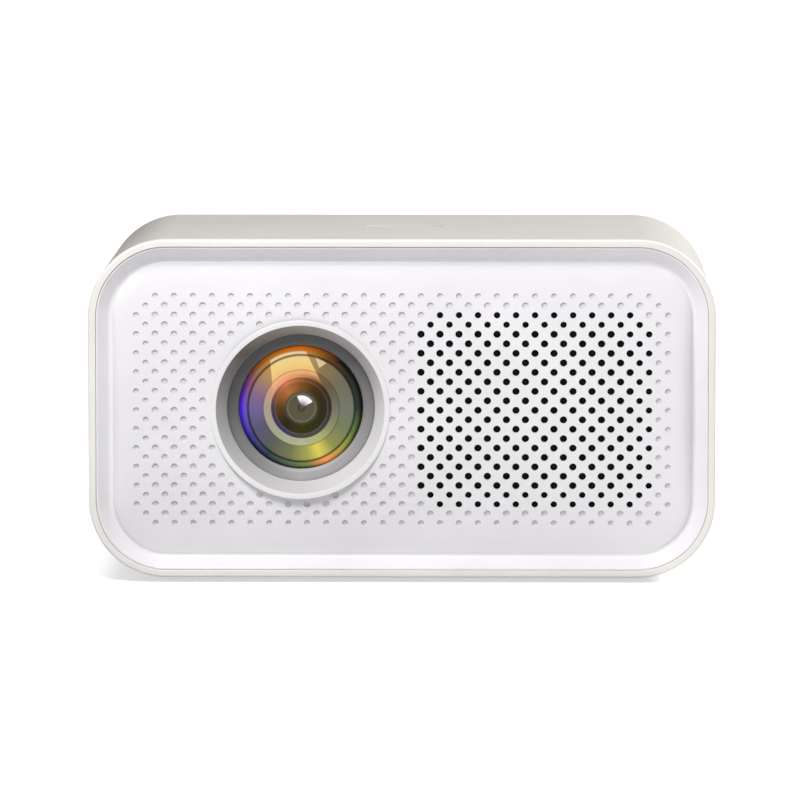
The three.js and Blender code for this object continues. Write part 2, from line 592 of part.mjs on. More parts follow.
// ---- assembly ----
addNode('housing_sleeve', housingSleeve(), MATERIAL.shell());
addNode('front_bezel', frontBezel(), MATERIAL.bezel());
addNode('front_panel', frontPanel(), MATERIAL.panel());
addNode('rear_panel', rearPanel(), MATERIAL.shell());
addNode('chassis_tray', chassisTray(), MATERIAL.darkPlastic());
addNode('tripod_nut', tripodNut(), MATERIAL.brass());
[-FOOT.x, FOOT.x].forEach((x, side) => [FOOT.yFront, FOOT.yRear].forEach((y, end) =>
  addNode(`foot_${2 * side + end + 1}`, foot(x, y), MATERIAL.rubber())));
bossPlaces().forEach(([x, z], i) => addNode(`rear_screw_${i + 1}`, rearScrew(x, z), MATERIAL.steel()));

addNode('lens_trim_ring', lensTrimRing(), MATERIAL.funnel());
addNode('lens_retainer', lensRetainer(), MATERIAL.greyRing());
addNode('lens_front', lensFront(), MATERIAL.glass());
addNode('aperture_stop', apertureStop(), MATERIAL.darkPlastic());
addNode('lens_middle', lensMiddle(), MATERIAL.glass());
addNode('lens_rear', lensRear(), MATERIAL.glass());
addNode('lens_barrel', lensBarrel(), MATERIAL.darkPlastic());
addNode('lens_mount', lensMount(), MATERIAL.darkPlastic());
addNode('guide_pin', guidePin(), MATERIAL.steel());
addNode('focus_ring', focusRing(), MATERIAL.darkPlastic());
addNode('focus_pinion', focusPinion(), MATERIAL.brass());
addNode('focus_motor', focusMotor(), MATERIAL.steel());
addNode('motor_bracket', motorBracket(), MATERIAL.steel());

addNode('engine_base', engineBase(), MATERIAL.engine());
addNode('engine_cover', engineCover(), MATERIAL.engine());
coverScrewPlaces().forEach(([x, y], i) =>
  addNode(`cover_screw_${i + 1}`, coverScrew(x, y), MATERIAL.steel()));
addNode('fold_mirror', foldMirror(), MATERIAL.mirror());
addNode('fresnel_front', plateX(8, 9.6, 46, 41), MATERIAL.glass());
addNode('lcd_panel', lcdPanel(), MATERIAL.darkPlastic());
addNode('fresnel_rear', plateX(21, 22.6, 46, 41), MATERIAL.glass());
addNode('heat_glass', plateX(29, 30.6, 46, 41), MATERIAL.glass());
addNode('condenser_lens', condenserLens(), MATERIAL.glass());
addNode('light_cup', lightCup(), MATERIAL.aluminium());
addNode('led_module', ledModule(), MATERIAL.aluminium());
addNode('led_heat_sink', ledHeatSink(), MATERIAL.aluminium());

addNode('fan_frame', fanFrame(), MATERIAL.darkPlastic());
addNode('fan_rotor', fanRotor(), MATERIAL.darkPlastic());
addNode('speaker_basket', speakerBasket(), MATERIAL.steel());
addNode('speaker_magnet', speakerMagnet(), MATERIAL.steel());
addNode('speaker_surround', speakerSurround(), MATERIAL.rubber());
addNode('speaker_cone', speakerCone(), MATERIAL.cloth());
addNode('speaker_gasket', speakerGasket(), MATERIAL.rubber());
addNode('grille_cloth', grilleCloth(), MATERIAL.cloth());

addNode('power_button', powerButton(), MATERIAL.shell());
addNode('button_board', buttonBoard(), MATERIAL.board());
addNode('key_switch', keySwitch(), MATERIAL.darkPlastic());
addNode('main_board', mainBoard(), MATERIAL.board());
addNode('processor_heat_sink', processorHeatSink(), MATERIAL.aluminium());
addNode('hdmi_socket', hdmiSocket(), MATERIAL.steel());
addNode('usb_socket', usbSocket(), MATERIAL.steel());
addNode('dc_inlet', dcInlet(), MATERIAL.darkPlastic());
addNode('av_jack', avJack(), MATERIAL.darkPlastic());
addNode('ir_window', irWindow(), MATERIAL.darkPlastic());
addNode('capacitor_left', capacitor(-62), MATERIAL.aluminium());
addNode('capacitor_right', capacitor(-42), MATERIAL.aluminium());

export default projector;
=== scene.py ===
"""Home projector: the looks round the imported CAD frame. Metres, +Z up, the front faces -Y."""
import json
import math

import bmesh
import bpy
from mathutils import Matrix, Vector
from mathutils.geometry import delaunay_2d_cdt


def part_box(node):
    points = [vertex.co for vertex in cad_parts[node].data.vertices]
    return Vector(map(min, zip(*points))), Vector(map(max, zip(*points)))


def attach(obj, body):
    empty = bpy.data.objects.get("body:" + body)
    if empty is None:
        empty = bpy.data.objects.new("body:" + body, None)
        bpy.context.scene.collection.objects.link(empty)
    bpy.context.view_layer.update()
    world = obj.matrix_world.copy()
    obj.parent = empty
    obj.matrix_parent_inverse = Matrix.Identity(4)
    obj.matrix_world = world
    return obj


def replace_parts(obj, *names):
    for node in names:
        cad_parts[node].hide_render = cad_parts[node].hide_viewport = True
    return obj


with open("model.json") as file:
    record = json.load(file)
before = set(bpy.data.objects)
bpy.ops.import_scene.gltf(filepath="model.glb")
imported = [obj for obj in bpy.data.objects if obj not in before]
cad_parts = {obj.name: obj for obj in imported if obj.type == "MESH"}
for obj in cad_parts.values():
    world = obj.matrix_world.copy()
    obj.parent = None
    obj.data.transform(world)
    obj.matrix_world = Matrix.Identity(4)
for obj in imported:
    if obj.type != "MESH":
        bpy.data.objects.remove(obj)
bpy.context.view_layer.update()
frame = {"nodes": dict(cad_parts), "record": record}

MM = 0.001
TAU = 2 * math.pi

# ---- places and sizes, read from the frame ----
sleeve_lo, sleeve_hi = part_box("housing_sleeve")
bezel_lo, bezel_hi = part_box("front_bezel")
panel_lo, panel_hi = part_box("front_panel")
rear_lo, rear_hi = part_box("rear_panel")
trim_lo, trim_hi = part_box("lens_trim_ring")
retainer_lo, retainer_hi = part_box("lens_retainer")
button_lo, button_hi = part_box("power_button")

WIDTH = sleeve_hi.x - sleeve_lo.x
HEIGHT = sleeve_hi.z - sleeve_lo.z
FRONT = bezel_lo.y
REAR = sleeve_hi.y
MID_Z = (sleeve_lo.z + sleeve_hi.z) / 2
TOP_Z = sleeve_hi.z
CORNER = 23 * MM
WALL = 2.2 * MM
PANEL_INSET = (WIDTH - (panel_hi.x - panel_lo.x)) / 2
LENS = Vector(((trim_lo.x + trim_hi.x) / 2, 0, (trim_lo.z + trim_hi.z) / 2))
CORNER_STEPS = 22
GRID = 2.8 * MM                      # spacing of the points along a panel's straight sides
BUTTON_LENGTH, BUTTON_WIDTH = 22 * MM, 12.4 * MM

# ---- light and floor ----
SKY = 0.26                           # the room's own light
KEY = 4.2                            # watts of the softbox over the front, from the left
RIM = 7.0                            # watts of the strip behind, on the right
FLOOR_TONE = 0.64
GLOW_NEAR, GLOW_FAR = 0.62, 0.95     # what the camera alone sees added to the floor, near by and far off


# ---- mesh tools ----
def plain(name, points, faces):
    mesh = bpy.data.meshes.new(name)
    mesh.from_pydata([tuple(p) for p in points], [], faces)
    mesh.update()
    obj = bpy.data.objects.new(name, mesh)
    bpy.context.collection.objects.link(obj)
    return obj


def make(name, points, faces, slot, body="chassis", material=None):
    """A piece of the projector, in its slot's material unless another is given."""
    obj = plain(name, points, faces)
    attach(obj, body)
    obj.data.materials.append(material or MATERIALS[slot])
    return obj


def smooth(obj, degrees=32):
    obj.data.shade_smooth()
    obj.data.set_sharp_from_angle(angle=math.radians(degrees))
    return obj


def rounded_outline(width, height, radius, steps=CORNER_STEPS, spacing=None):
    """Points (x, z) round a rectangle with round corners, centred on the origin. With a spacing the straight
    sides are divided as well, into as many parts as the housing's own sides take at that spacing."""
    half = Vector((width / 2, height / 2))
    points = []
    for quarter, (sx, sz) in enumerate(((1, 1), (-1, 1), (-1, -1), (1, -1))):
        centre = Vector((sx * (half.x - radius), sz * (half.y - radius)))
        for i in range(steps + 1):
            angle = (quarter + i / steps) * TAU / 4
            points.append(centre + radius * Vector((math.cos(angle), math.sin(angle))))
        if spacing:
            count = round(((WIDTH, HEIGHT)[quarter % 2] - 2 * CORNER) / spacing)
            along = (width, height)[quarter % 2] - 2 * radius
            start = points[-1].copy()
            step = Vector(((-sx, 0), (0, -sz))[quarter % 2])
            points += [start + step * (along * i / count) for i in range(1, count)]
    return points


def body_ring(inset, y, spacing=None):
    """A ring of the housing's outline, drawn in by inset, at depth y."""
    radius = max(CORNER - inset, 0.5 * MM)
    outline = rounded_outline(WIDTH - 2 * inset, HEIGHT - 2 * inset, radius, spacing=spacing)
    return [Vector((p.x, y, p.y + MID_Z)) for p in outline]


def bridge(faces, first, second, count):
    """Quads between two rings of count points that start at these indices."""
    for i in range(count):
        j = (i + 1) % count
        faces.append([first + i, first + j, second + j, second + i])


def stitch(faces, first, second):
    """Quads between two loops of point numbers."""
    for i in range(len(first)):
        j = (i + 1) % len(first)
        faces.append([first[i], second[i], second[j], first[j]])


def ring_solid(name, rings, slot, closed=True, **kw):
    """A skin over rings of equal length: closed from last ring to first, or open with a cap at each end."""
    count = len(rings[0])
    points = [p for ring in rings for p in ring]
    faces = []
    for i in range(len(rings) - (not closed)):
        bridge(faces, i * count, ((i + 1) % len(rings)) * count, count)
    if not closed:
        faces.append(list(range(count))[::-1])
        faces.append([(len(rings) - 1) * count + i for i in range(count)])
    return smooth(make(name, points, faces, slot, **kw))


def recalc(obj):
    bm = bmesh.new()
    bm.from_mesh(obj.data)
    bmesh.ops.recalc_face_normals(bm, faces=bm.faces)
    bm.to_mesh(obj.data)
    bm.free()
    return obj


def turned(name, profile, centre, slot, axis="Y", segments=96, degrees=32, **kw):
    """A profile of (radius, position) points turned about a line through centre; points on it are poles."""
    points, faces, rows = [], [], []
    for radius, along in profile:
        if radius < 1e-7:
            rows.append([len(points)])
            points.append(turned_point(axis, centre, 0, 0, along))
            continue
        start = len(points)
        rows.append(list(range(start, start + segments)))
        points += [turned_point(axis, centre, radius, TAU * i / segments, along) for i in range(segments)]
    for low, high in zip(rows, rows[1:]):
        for i in range(segments):
            j = (i + 1) % segments
            corner = [low[i % len(low)], low[j % len(low)], high[j % len(high)], high[i % len(high)]]
            face = list(dict.fromkeys(corner))
            if len(face) > 2:
                faces.append(face)
    if len(rows[0]) > 1 and rows[0] != rows[-1] and (Vector(profile[0]) - Vector(profile[-1])).length < 1e-9:
        points, faces = weld_last_row(points, faces, rows)
    return smooth(recalc(make(name, points, faces, slot, **kw)), degrees)


def weld_last_row(points, faces, rows):
    swap = dict(zip(rows[-1], rows[0]))
    return points[:rows[-1][0]], [[swap.get(i, i) for i in face] for face in faces]


def turned_point(axis, centre, radius, angle, along):
    c, s = radius * math.cos(angle), radius * math.sin(angle)
    if axis == "Y":
        return Vector((centre[0] + c, along, centre[2] + s))
    return Vector((centre[0] + c, centre[1] + s, along))


def bend(before, here, after, steps):
    """The points of the round corner at here = (across, along, fillet), between its neighbours."""
    spot = Vector(here[:2])
    start, end = (spot + (Vector(p[:2]) - spot).normalized() * here[2] for p in (before, after))
    return [tuple(start * (1 - t) ** 2 + spot * 2 * t * (1 - t) + end * t * t)
            for t in (k / steps for k in range(steps + 1))]


def rounded_profile(corners, steps=4):
    """A closed (radius, position) profile, every corner rounded by its own fillet."""
    out = []
    for i, here in enumerate(corners):
        out += bend(corners[i - 1], here, corners[(i + 1) % len(corners)], steps)
    return out + [out[0]]


def open_fillets(corners, steps=5):
    """A path of (inset, y, fillet) corners with the inner ones rounded."""
    out = [corners[0][:2]]
    for before, here, after in zip(corners, corners[1:], corners[2:]):
        out += bend(before, here, after, steps)
    return out + [corners[-1][:2]]


def apply_modifiers(obj):
    depsgraph = bpy.context.evaluated_depsgraph_get()
    mesh = bpy.data.meshes.new_from_object(obj.evaluated_get(depsgraph))
    obj.modifiers.clear()
    old = obj.data
    obj.data = mesh
    bpy.data.meshes.remove(old)
    return obj


def loft_tool(rings):
    count = len(rings[0])
    faces = []
    for i in range(len(rings) - 1):
        bridge(faces, i * count, (i + 1) * count, count)
    faces.append(list(range(count)))
    faces.append([(len(rings) - 1) * count + i for i in range(count)])
    return recalc(plain("cutter", [p for ring in rings for p in ring], faces))


def carve(obj, cutters):
    """Cuts the tools out of a piece, then removes them."""
    for cutter in cutters:
        modifier = obj.modifiers.new("cut", "BOOLEAN")
        modifier.object = cutter
        modifier.operation = "DIFFERENCE"
        modifier.solver = "EXACT"
    apply_modifiers(obj)
    for cutter in cutters:
        bpy.data.objects.remove(cutter)
    return obj


# ---- materials ----
class Nodes:
    """A short way to write a node material."""

    def __init__(self, name):
        self.material = bpy.data.materials.new(name)
        self.material.use_nodes = True
        self.tree = self.material.node_tree
        self.shader = self.tree.nodes["Principled BSDF"]
        self.position = self.add("ShaderNodeTexCoord").outputs["Object"]

    def add(self, kind, inputs=None, **settings):
        node = self.tree.nodes.new(kind)
        for key, value in settings.items():
            setattr(node, key, value)
        for key, value in (inputs or {}).items():
            self.put(node.inputs[key], value)
        return node

    def put(self, socket, value):
        if isinstance(value, bpy.types.NodeSocket):
            self.tree.links.new(value, socket)
        else:
            socket.default_value = value

    def set(self, **inputs):
        names = {"color": "Base Color", "rough": "Roughness", "metal": "Metallic", "coat": "Coat Weight",
                 "coat_rough": "Coat Roughness", "ior": "IOR", "glass": "Transmission Weight",
                 "specular": "Specular IOR Level", "alpha": "Alpha", "emission": "Emission Color",
                 "glow": "Emission Strength"}
        for key, value in inputs.items():
            self.put(self.shader.inputs[names[key]], value)
        return self

    def math(self, operation, *values):
        node = self.add("ShaderNodeMath", dict(enumerate(values)), operation=operation)
        return node.outputs[0]

    def times(self, value, *others):
        for other in others:
            value = self.math("MULTIPLY", value, other)
        return value

    def opposite(self, value):
        return self.math("SUBTRACT", 1.0, value)

    def noise(self, scale, detail=3.0, rough=0.55, position=None):
        node = self.add("ShaderNodeTexNoise", {"Scale": scale, "Detail": detail, "Roughness": rough})
        self.put(node.inputs["Vector"], position or self.position)
        return node.outputs["Fac"]

    def ramp(self, fac, *stops):
        node = self.add("ShaderNodeValToRGB")
        elements = node.color_ramp.elements
        while len(elements) < len(stops):
            elements.new(0.5)
        for element, (place, color) in zip(elements, stops):
            element.position = place
            element.color = (*color, 1)
        self.put(node.inputs["Fac"], fac)
        return node.outputs["Color"]

    def mix(self, fac, a, b, blend="MIX"):
        node = self.add("ShaderNodeMix", data_type="RGBA", blend_type=blend)
        self.put(node.inputs["Factor"], fac)
        for socket, value in ((6, a), (7, b)):
            self.put(node.inputs[socket], (*value, 1) if isinstance(value, tuple) else value)
        return node.outputs[2]

    def bump(self, height, strength, distance):
        node = self.add("ShaderNodeBump", {"Strength": strength, "Distance": distance, "Height": height})
        self.put(self.shader.inputs["Normal"], node.outputs["Normal"])
        return self

    def split(self):
        node = self.add("ShaderNodeSeparateXYZ", {"Vector": self.position})
        return node.outputs["X"], node.outputs["Y"], node.outputs["Z"]


def grey(value):
    return (value, value, value)


def moulded(name, color, rough, bump=0.05, coat=0.0, specular=0.5):
    """A moulded plastic: a fine spark-eroded grain, and slow, slight changes of tone and gloss."""
    n = Nodes(name)
    vary = 0.03
    slow = n.noise(35.0, 3.0)
    fine = n.noise(9000.0, 2.0)
    dark = tuple(c * (1 - vary) for c in color)
    light = tuple(min(c * (1 + vary), 1) for c in color)
    n.set(color=n.ramp(slow, (0.3, dark), (0.7, light)), coat=coat, coat_rough=0.2, specular=specular)
    n.set(rough=n.math("MULTIPLY_ADD", n.noise(220.0, 3.0), 0.08, rough - 0.04))
    return n.bump(fine, bump, 0.00005).material


def metal(name, color, rough, stretch=(1.0, 1.0, 1.0), bump=0.08):
    """A bare metal with drawn or turned lines along the short direction of stretch."""
    n = Nodes(name)
    mapping = n.add("ShaderNodeMapping", {"Vector": n.position, "Scale": stretch})
    lines = n.noise(900.0, 3.0, 0.6, mapping.outputs["Vector"])
    dark = tuple(c * 0.82 for c in color)
    n.set(color=n.ramp(lines, (0.3, dark), (0.7, color)), metal=1.0)
    n.set(rough=n.math("MULTIPLY_ADD", lines, 0.16, rough - 0.08))
    return n.bump(lines, bump, 0.00004).material


def soft_rubber(name, color):
    n = Nodes(name)
    dust = n.noise(700.0, 4.0)
    n.set(color=n.ramp(dust, (0.35, color), (0.75, tuple(c * 1.5 + 0.01 for c in color))), specular=0.3)
    n.set(rough=shades(n, n.noise(150.0), (0.3, 0.75), (0.7, 0.92)))
    return n.bump(n.noise(5000.0, 2.0), 0.15, 0.00006).material


def woven(name, color, pitch):
    """A fine black cloth: crossing threads worked out from two sets of waves."""
    n = Nodes(name)
    x, y, z = n.split()
    across, along = (n.math("SINE", n.times(way, TAU / pitch)) for way in (x, z))
    weave = n.math("MULTIPLY_ADD", n.times(across, along), 0.5, 0.5)
    n.set(color=n.ramp(weave, (0.1, tuple(c * 0.4 for c in color)), (0.9, color)), rough=1.0, specular=0.1)
    return n.bump(weave, 0.4, 0.0001).material


def clear_glass(name, tint, rough=0.02):
    n = Nodes(name)
    smear = n.noise(60.0, 3.0)
    n.set(color=n.ramp(smear, (0.3, tint), (0.8, tuple(min(1, c * 1.02) for c in tint))), glass=1.0, ior=1.5)
    return n.set(rough=shades(n, smear, (0.3, rough), (0.9, rough + 0.02))).material


def coated_glass(name):
    """Clear coated glass as a thin dark gloss that lets most light straight through."""
    n = Nodes(name)
    smear = n.noise(60.0, 3.0)
    n.set(color=n.ramp(smear, (0.3, (0.012, 0.008, 0.02)), (0.8, (0.02, 0.014, 0.03))), ior=1.8, alpha=0.07)
    return n.set(rough=shades(n, smear, (0.3, 0.02), (0.9, 0.04))).material


def circuit_board(name):
    """Green solder mask over a maze of copper tracks, with tinned pads."""
    n = Nodes(name)
    mask = n.add("ShaderNodeTexBrick", {"Vector": n.position, "Scale": 160.0, "Mortar Size": 0.02,
                                        "Color1": (0.02, 0.12, 0.06, 1), "Color2": (0.015, 0.16, 0.07, 1),
                                        "Mortar": (0.08, 0.3, 0.14, 1)})
    cells = n.add("ShaderNodeTexVoronoi", {"Vector": n.position, "Scale": 420.0})
    pads = shades(n, cells.outputs["Distance"], (0.10, 1.0), (0.16, 0.0))
    n.set(color=n.mix(pads, mask.outputs["Color"], (0.62, 0.6, 0.52)), rough=0.35,
          metal=n.times(pads, 0.8))
    return n.bump(mask.outputs["Fac"], 0.2, 0.00005).material


def linear(*color):
    """An sRGB colour of three bytes as linear light."""
    return tuple((c / 255 / 12.92) if c < 11 else ((c / 255 + 0.055) / 1.055) ** 2.4 for c in color)


def around(n, centre):
    """Sideways and upward distance from the lens axis in mm, the radius, and the turn about the axis: 0 at
    the left, a quarter below, a half at the right, three quarters above."""
    x, y, z = n.split()
    u = n.times(n.math("SUBTRACT", x, centre.x), 1000)
    v = n.times(n.math("SUBTRACT", z, centre.z), 1000)
    radius = n.math("SQRT", n.math("ADD", n.times(u, u), n.times(v, v)))
    turn = n.math("ADD", n.math("DIVIDE", n.math("ARCTAN2", v, u), TAU), 0.5)
    return u, v, radius, turn


def wheel(n, turn, *stops):
    """Colours in sRGB, laid out by turn."""
    return n.ramp(turn, *[(place, linear(*color)) for place, *color in stops])


def shades(n, place, *stops):
    """Greys in linear light, laid out by place."""
    return n.ramp(place, *[(at, grey(value)) for at, value in stops])


def past(n, value, edge, soft=0.1):
    """0 below the edge, 1 above it."""
    node = n.add("ShaderNodeMapRange", {"Value": value, "From Min": edge - soft, "From Max": edge + soft},
                 interpolation_type="SMOOTHSTEP")
    return node.outputs["Result"]


def side_of(n, u, v, start, end):
    """1 on the left of the line from start to end, 0 on its right. Points are (sideways, up) in mm."""
    du, dv = end[0] - start[0], end[1] - start[1]
    length = math.hypot(du, dv)
    across = n.math("SUBTRACT", n.times(n.math("SUBTRACT", v, start[1]), du / length),
                    n.times(n.math("SUBTRACT", u, start[0]), dv / length))
    return past(n, across, 0.0, 0.12)


def painted_lens_reflections(name, centre):
    """The painted reflections of a multi-coated lens: amber above, violet at the left, olive below and orange
    low on the right, in cells parted by rings of painted shade, with a painted window reflection across the
    top."""
    n = Nodes(name)
    u, v, radius, turn = around(n, centre)
    # painted reflections: each zone's colour turns with the angle about the axis, as coatings throw back the
    # room's light
    rim_outer = wheel(n, turn, (0.0, 70, 30, 215), (0.07, 40, 25, 130), (0.12, 15, 15, 50),
                      (0.2, 20, 28, 20), (0.28, 70, 75, 30), (0.32, 215, 110, 30), (0.37, 110, 90, 20),
                      (0.42, 40, 55, 15), (0.5, 10, 12, 8), (0.64, 14, 12, 4), (0.69, 140, 70, 0),
                      (0.75, 210, 105, 0), (0.84, 170, 95, 15), (0.9, 110, 60, 40), (0.95, 70, 35, 150),
                      (1.0, 70, 30, 215))
    rim_inner = wheel(n, turn, (0.0, 105, 85, 195), (0.08, 65, 65, 130), (0.15, 50, 65, 75),
                      (0.22, 85, 105, 75), (0.27, 120, 130, 75), (0.32, 245, 150, 90), (0.37, 165, 160, 75),
                      (0.43, 90, 120, 60), (0.5, 45, 55, 45), (0.6, 40, 44, 38), (0.67, 95, 65, 20),
                      (0.73, 190, 125, 50), (0.8, 205, 150, 70), (0.87, 170, 125, 65), (0.93, 135, 80, 105),
                      (1.0, 105, 85, 195))
    outer_cell = wheel(n, turn, (0.0, 112, 98, 148), (0.07, 88, 84, 110), (0.14, 88, 90, 84),
                       (0.21, 112, 116, 78), (0.27, 160, 158, 78), (0.31, 216, 202, 88),
                       (0.36, 140, 142, 74), (0.43, 112, 122, 84), (0.5, 112, 116, 102),
                       (0.6, 114, 108, 88), (0.67, 142, 118, 78), (0.75, 205, 165, 100),
                       (0.83, 205, 160, 85), (0.9, 170, 132, 98), (0.95, 136, 106, 138),
                       (1.0, 112, 98, 148))
    inner_cell = wheel(n, turn, (0.0, 166, 154, 138), (0.12, 160, 158, 138), (0.25, 170, 174, 138),
                       (0.33, 168, 170, 112), (0.42, 130, 134, 98), (0.5, 112, 110, 92), (0.6, 100, 88, 68),
                       (0.68, 130, 95, 60), (0.77, 215, 150, 95), (0.86, 240, 162, 125),
                       (0.93, 200, 155, 130), (1.0, 166, 154, 138))
    dark_ring = wheel(n, turn, (0.0, 74, 52, 74), (0.12, 58, 48, 100), (0.25, 66, 68, 60),
                      (0.36, 66, 64, 70), (0.5, 48, 38, 46), (0.62, 60, 40, 20), (0.72, 130, 75, 25),
                      (0.84, 215, 120, 80), (0.92, 140, 85, 50), (1.0, 74, 52, 74))
    well = wheel(n, turn, (0.0, 86, 56, 20), (0.12, 40, 32, 8), (0.25, 46, 48, 6), (0.4, 40, 42, 6),
                 (0.55, 44, 36, 8), (0.66, 70, 44, 12), (0.75, 120, 78, 26), (0.86, 180, 108, 58),
                 (0.93, 140, 84, 36), (1.0, 86, 56, 20))
    color = linear(78, 73, 54)
    for start, soft, band in ((4.9, 0.6, well), (7.85, 0.08, dark_ring), (8.95, 0.1, inner_cell),
                              (11.35, 0.1, outer_cell), (15.85, 0.15, rim_inner), (17.3, 0.55, rim_outer)):
        color = n.mix(past(n, radius, start, soft), color, band)

    # the window's reflection, and the piece of it beyond the glazing bar
    window = n.times(n.opposite(side_of(n, u, v, (-8.6, 7.0), (-9.3, 15.0))),
                     side_of(n, u, v, (6.6, 6.0), (1.2, 17.2)), past(n, radius, 9.9, 1.1),
                     n.opposite(past(n, radius, 16.9, 0.2)), past(n, v, 4.6, 0.9))
    outward = n.math("DIVIDE", radius, 20)
    glow = wheel(n, outward, (0.45, 235, 150, 105), (0.57, 250, 198, 130), (0.68, 255, 222, 140),
                 (0.775, 255, 226, 150), (0.79, 240, 205, 150), (0.85, 248, 228, 195))
    color = n.mix(n.times(window, 0.85), color, glow)
    corners = (5.3, 11.9), (7.4, 13.4), (3.9, 15.6)
    corner = n.times(*[side_of(n, u, v, corners[i], corners[(i + 1) % 3]) for i in range(3)])
    color = n.mix(n.times(corner, 0.85), color, linear(232, 212, 170))

    # the lamp's reflection in the middle: a fan that fades to its point
    fan = n.times(n.opposite(side_of(n, u, v, (0.2, 0.0), (-1.2, 3.2))),
                  side_of(n, u, v, (0.3, 0.1), (3.4, 1.8)), n.opposite(past(n, radius, 3.65, 0.12)),
                  past(n, radius, 1.7, 1.5))
    spot = wheel(n, n.math("DIVIDE", radius, 4), (0.0, 96, 90, 72), (0.22, 58, 52, 36), (0.38, 88, 82, 60),
                 (1.0, 84, 80, 62))
    color = n.mix(past(n, radius, 3.9, 0.1), spot, color)
    color = n.mix(fan, color, grey(0.95))

    # painted shade along the steps between the cells
    rings = shades(n, outward, (0.0, 1), (0.435, 1), (0.447, 0.5), (0.46, 1), (0.553, 1), (0.565, 0.45),
                   (0.577, 1), (0.765, 1), (0.785, 0.25), (0.797, 0.2), (0.815, 1), (0.905, 1), (0.925, 0.3))
    color = n.mix(1.0, color, rings, "MULTIPLY")
    # thin painted glints on two ring edges
    painted_glint = shades(n, outward, (0.198, 0), (0.206, 1), (0.214, 0), (0.383, 0), (0.39, 0.5), (0.397, 0))
    color = n.mix(painted_glint, color, linear(136, 132, 112))
    # the painted colours also glow, so the lens shows bright in its recess though it gives no light of its
    # own
    n.set(color=n.mix(1.0, color, grey(0.35), "MULTIPLY"), emission=color, glow=0.93, specular=0.02,
          rough=shades(n, n.noise(90.0), (0.3, 0.35), (0.7, 0.45)))
    return n.material


def painted_shade_ring(name, *stops):
    """A satin ring round the lens with painted light and shade: its tone turns with its angle, lighter where
    the cone would face the lamps and darker where it would lie in shade.
    """
    n = Nodes(name)
    rough = 0.38
    *_, turn = around(n, LENS)
    # painted light and shade by angle about the lens axis
    tone = shades(n, turn, *stops)
    cool = n.mix(n.noise(40.0), (1.0, 0.98, 1.0), (0.97, 0.96, 0.98))
    n.set(color=n.mix(1.0, tone, cool, "MULTIPLY"),
          rough=shades(n, n.noise(150.0), (0.3, rough - 0.03), (0.7, rough + 0.03)))
    return n.bump(n.noise(8000.0, 2.0), 0.04, 0.00005).material


MATERIALS = {
    "shell": moulded("shell_plastic", (0.53, 0.51, 0.48), 0.42),
    "bezel_cream": moulded("bezel_plastic", (0.85, 0.83, 0.795), 0.34, coat=0.15),
    "panel_white": moulded("panel_plastic", (0.83, 0.82, 0.84), 0.38, coat=0.1, bump=0.03),
    # painted shade and light: dark at the upper left, light at the right and lower right
    "funnel": painted_shade_ring(
        "funnel_painted_shade", (0, 0.56), (0.12, 0.60), (0.25, 0.64), (0.37, 0.76), (0.5, 0.82), (0.62, 0.62),
        (0.70, 0.46), (0.78, 0.30), (0.88, 0.15), (1, 0.54)),
    # painted highlight at the upper left and painted shade at the right
    "funnel_lip": painted_shade_ring(
        "funnel_lip_painted_light", (0, 0.50), (0.25, 0.60), (0.5, 0.30), (0.68, 0.30), (0.85, 0.75), (1, 0.50)),
    # painted shade: darker above and at the left, lighter below
    "lens_ring": painted_shade_ring(
        "retainer_painted_shade", (0, 0.14), (0.14, 0.25), (0.25, 0.44), (0.36, 0.40), (0.5, 0.22), (0.62, 0.16),
        (0.75, 0.13), (0.88, 0.12), (1, 0.14)),
    # darker than the face: painted shade for the dimples' hollows
    "panel_dot": moulded("panel_dot_painted_shade", (0.71, 0.70, 0.725), 0.5, bump=0.03, specular=0.3),
    "socket_tongue": moulded("socket_tongue", (0.55, 0.56, 0.58), 0.5),
    "rear_plastic": moulded("rear_panel_plastic", (0.58, 0.555, 0.52), 0.48, bump=0.12),
    "black_plastic": moulded("black_plastic", (0.02, 0.02, 0.022), 0.5),
    "inner_plastic": moulded("inner_plastic", (0.05, 0.05, 0.055), 0.55),
    "engine_plastic": moulded("engine_plastic", (0.07, 0.07, 0.075), 0.6, bump=0.15),
    "gear_plastic": moulded("gear_plastic", (0.72, 0.68, 0.60), 0.45),
    "black_paint": moulded("optical_black", (0.012, 0.012, 0.014), 0.7),
    "lcd_frame": moulded("lcd_frame", (0.04, 0.04, 0.045), 0.45),
    "dark_window": moulded("infrared_window", (0.015, 0.006, 0.01), 0.12, bump=0.0, coat=0.5),
    "brass": metal("brass", (0.72, 0.53, 0.24), 0.3, (1, 1, 8)),
    "steel": metal("plated_steel", (0.56, 0.57, 0.58), 0.32, (1, 8, 1)),
    "aluminium": metal("extruded_aluminium", (0.74, 0.75, 0.76), 0.36, (8, 1, 8)),
    "mirror": metal("mirror_coat", (0.93, 0.94, 0.95), 0.09, bump=0.0),
    "black_steel": metal("black_screw", (0.06, 0.06, 0.065), 0.42, (1, 1, 1)),
    "rubber": soft_rubber("foot_rubber", (0.03, 0.03, 0.032)),
    "foam": soft_rubber("gasket_foam", (0.045, 0.045, 0.05)),
    "speaker_paper": soft_rubber("cone_paper", (0.02, 0.02, 0.02)),
    "black_cloth": woven("grille_cloth", (0.02, 0.02, 0.021), 0.35 * MM),
    "circuit_board": circuit_board("circuit_board"),
    "glass": clear_glass("optical_glass", (0.95, 0.97, 0.96)),
    "acrylic": clear_glass("fresnel_acrylic", (0.93, 0.95, 0.95), 0.1),
    "coated_glass": coated_glass("front_glass"),
}


def dress_frame():
    """Every CAD node that stays gets its slot's material."""
    for entry in frame["record"]["subparts"]:
        obj = frame["nodes"].get(entry["node"])
        if obj is None:
            continue
        obj.data.materials.clear()
        obj.data.materials.append(MATERIALS[entry["material_slot"]])


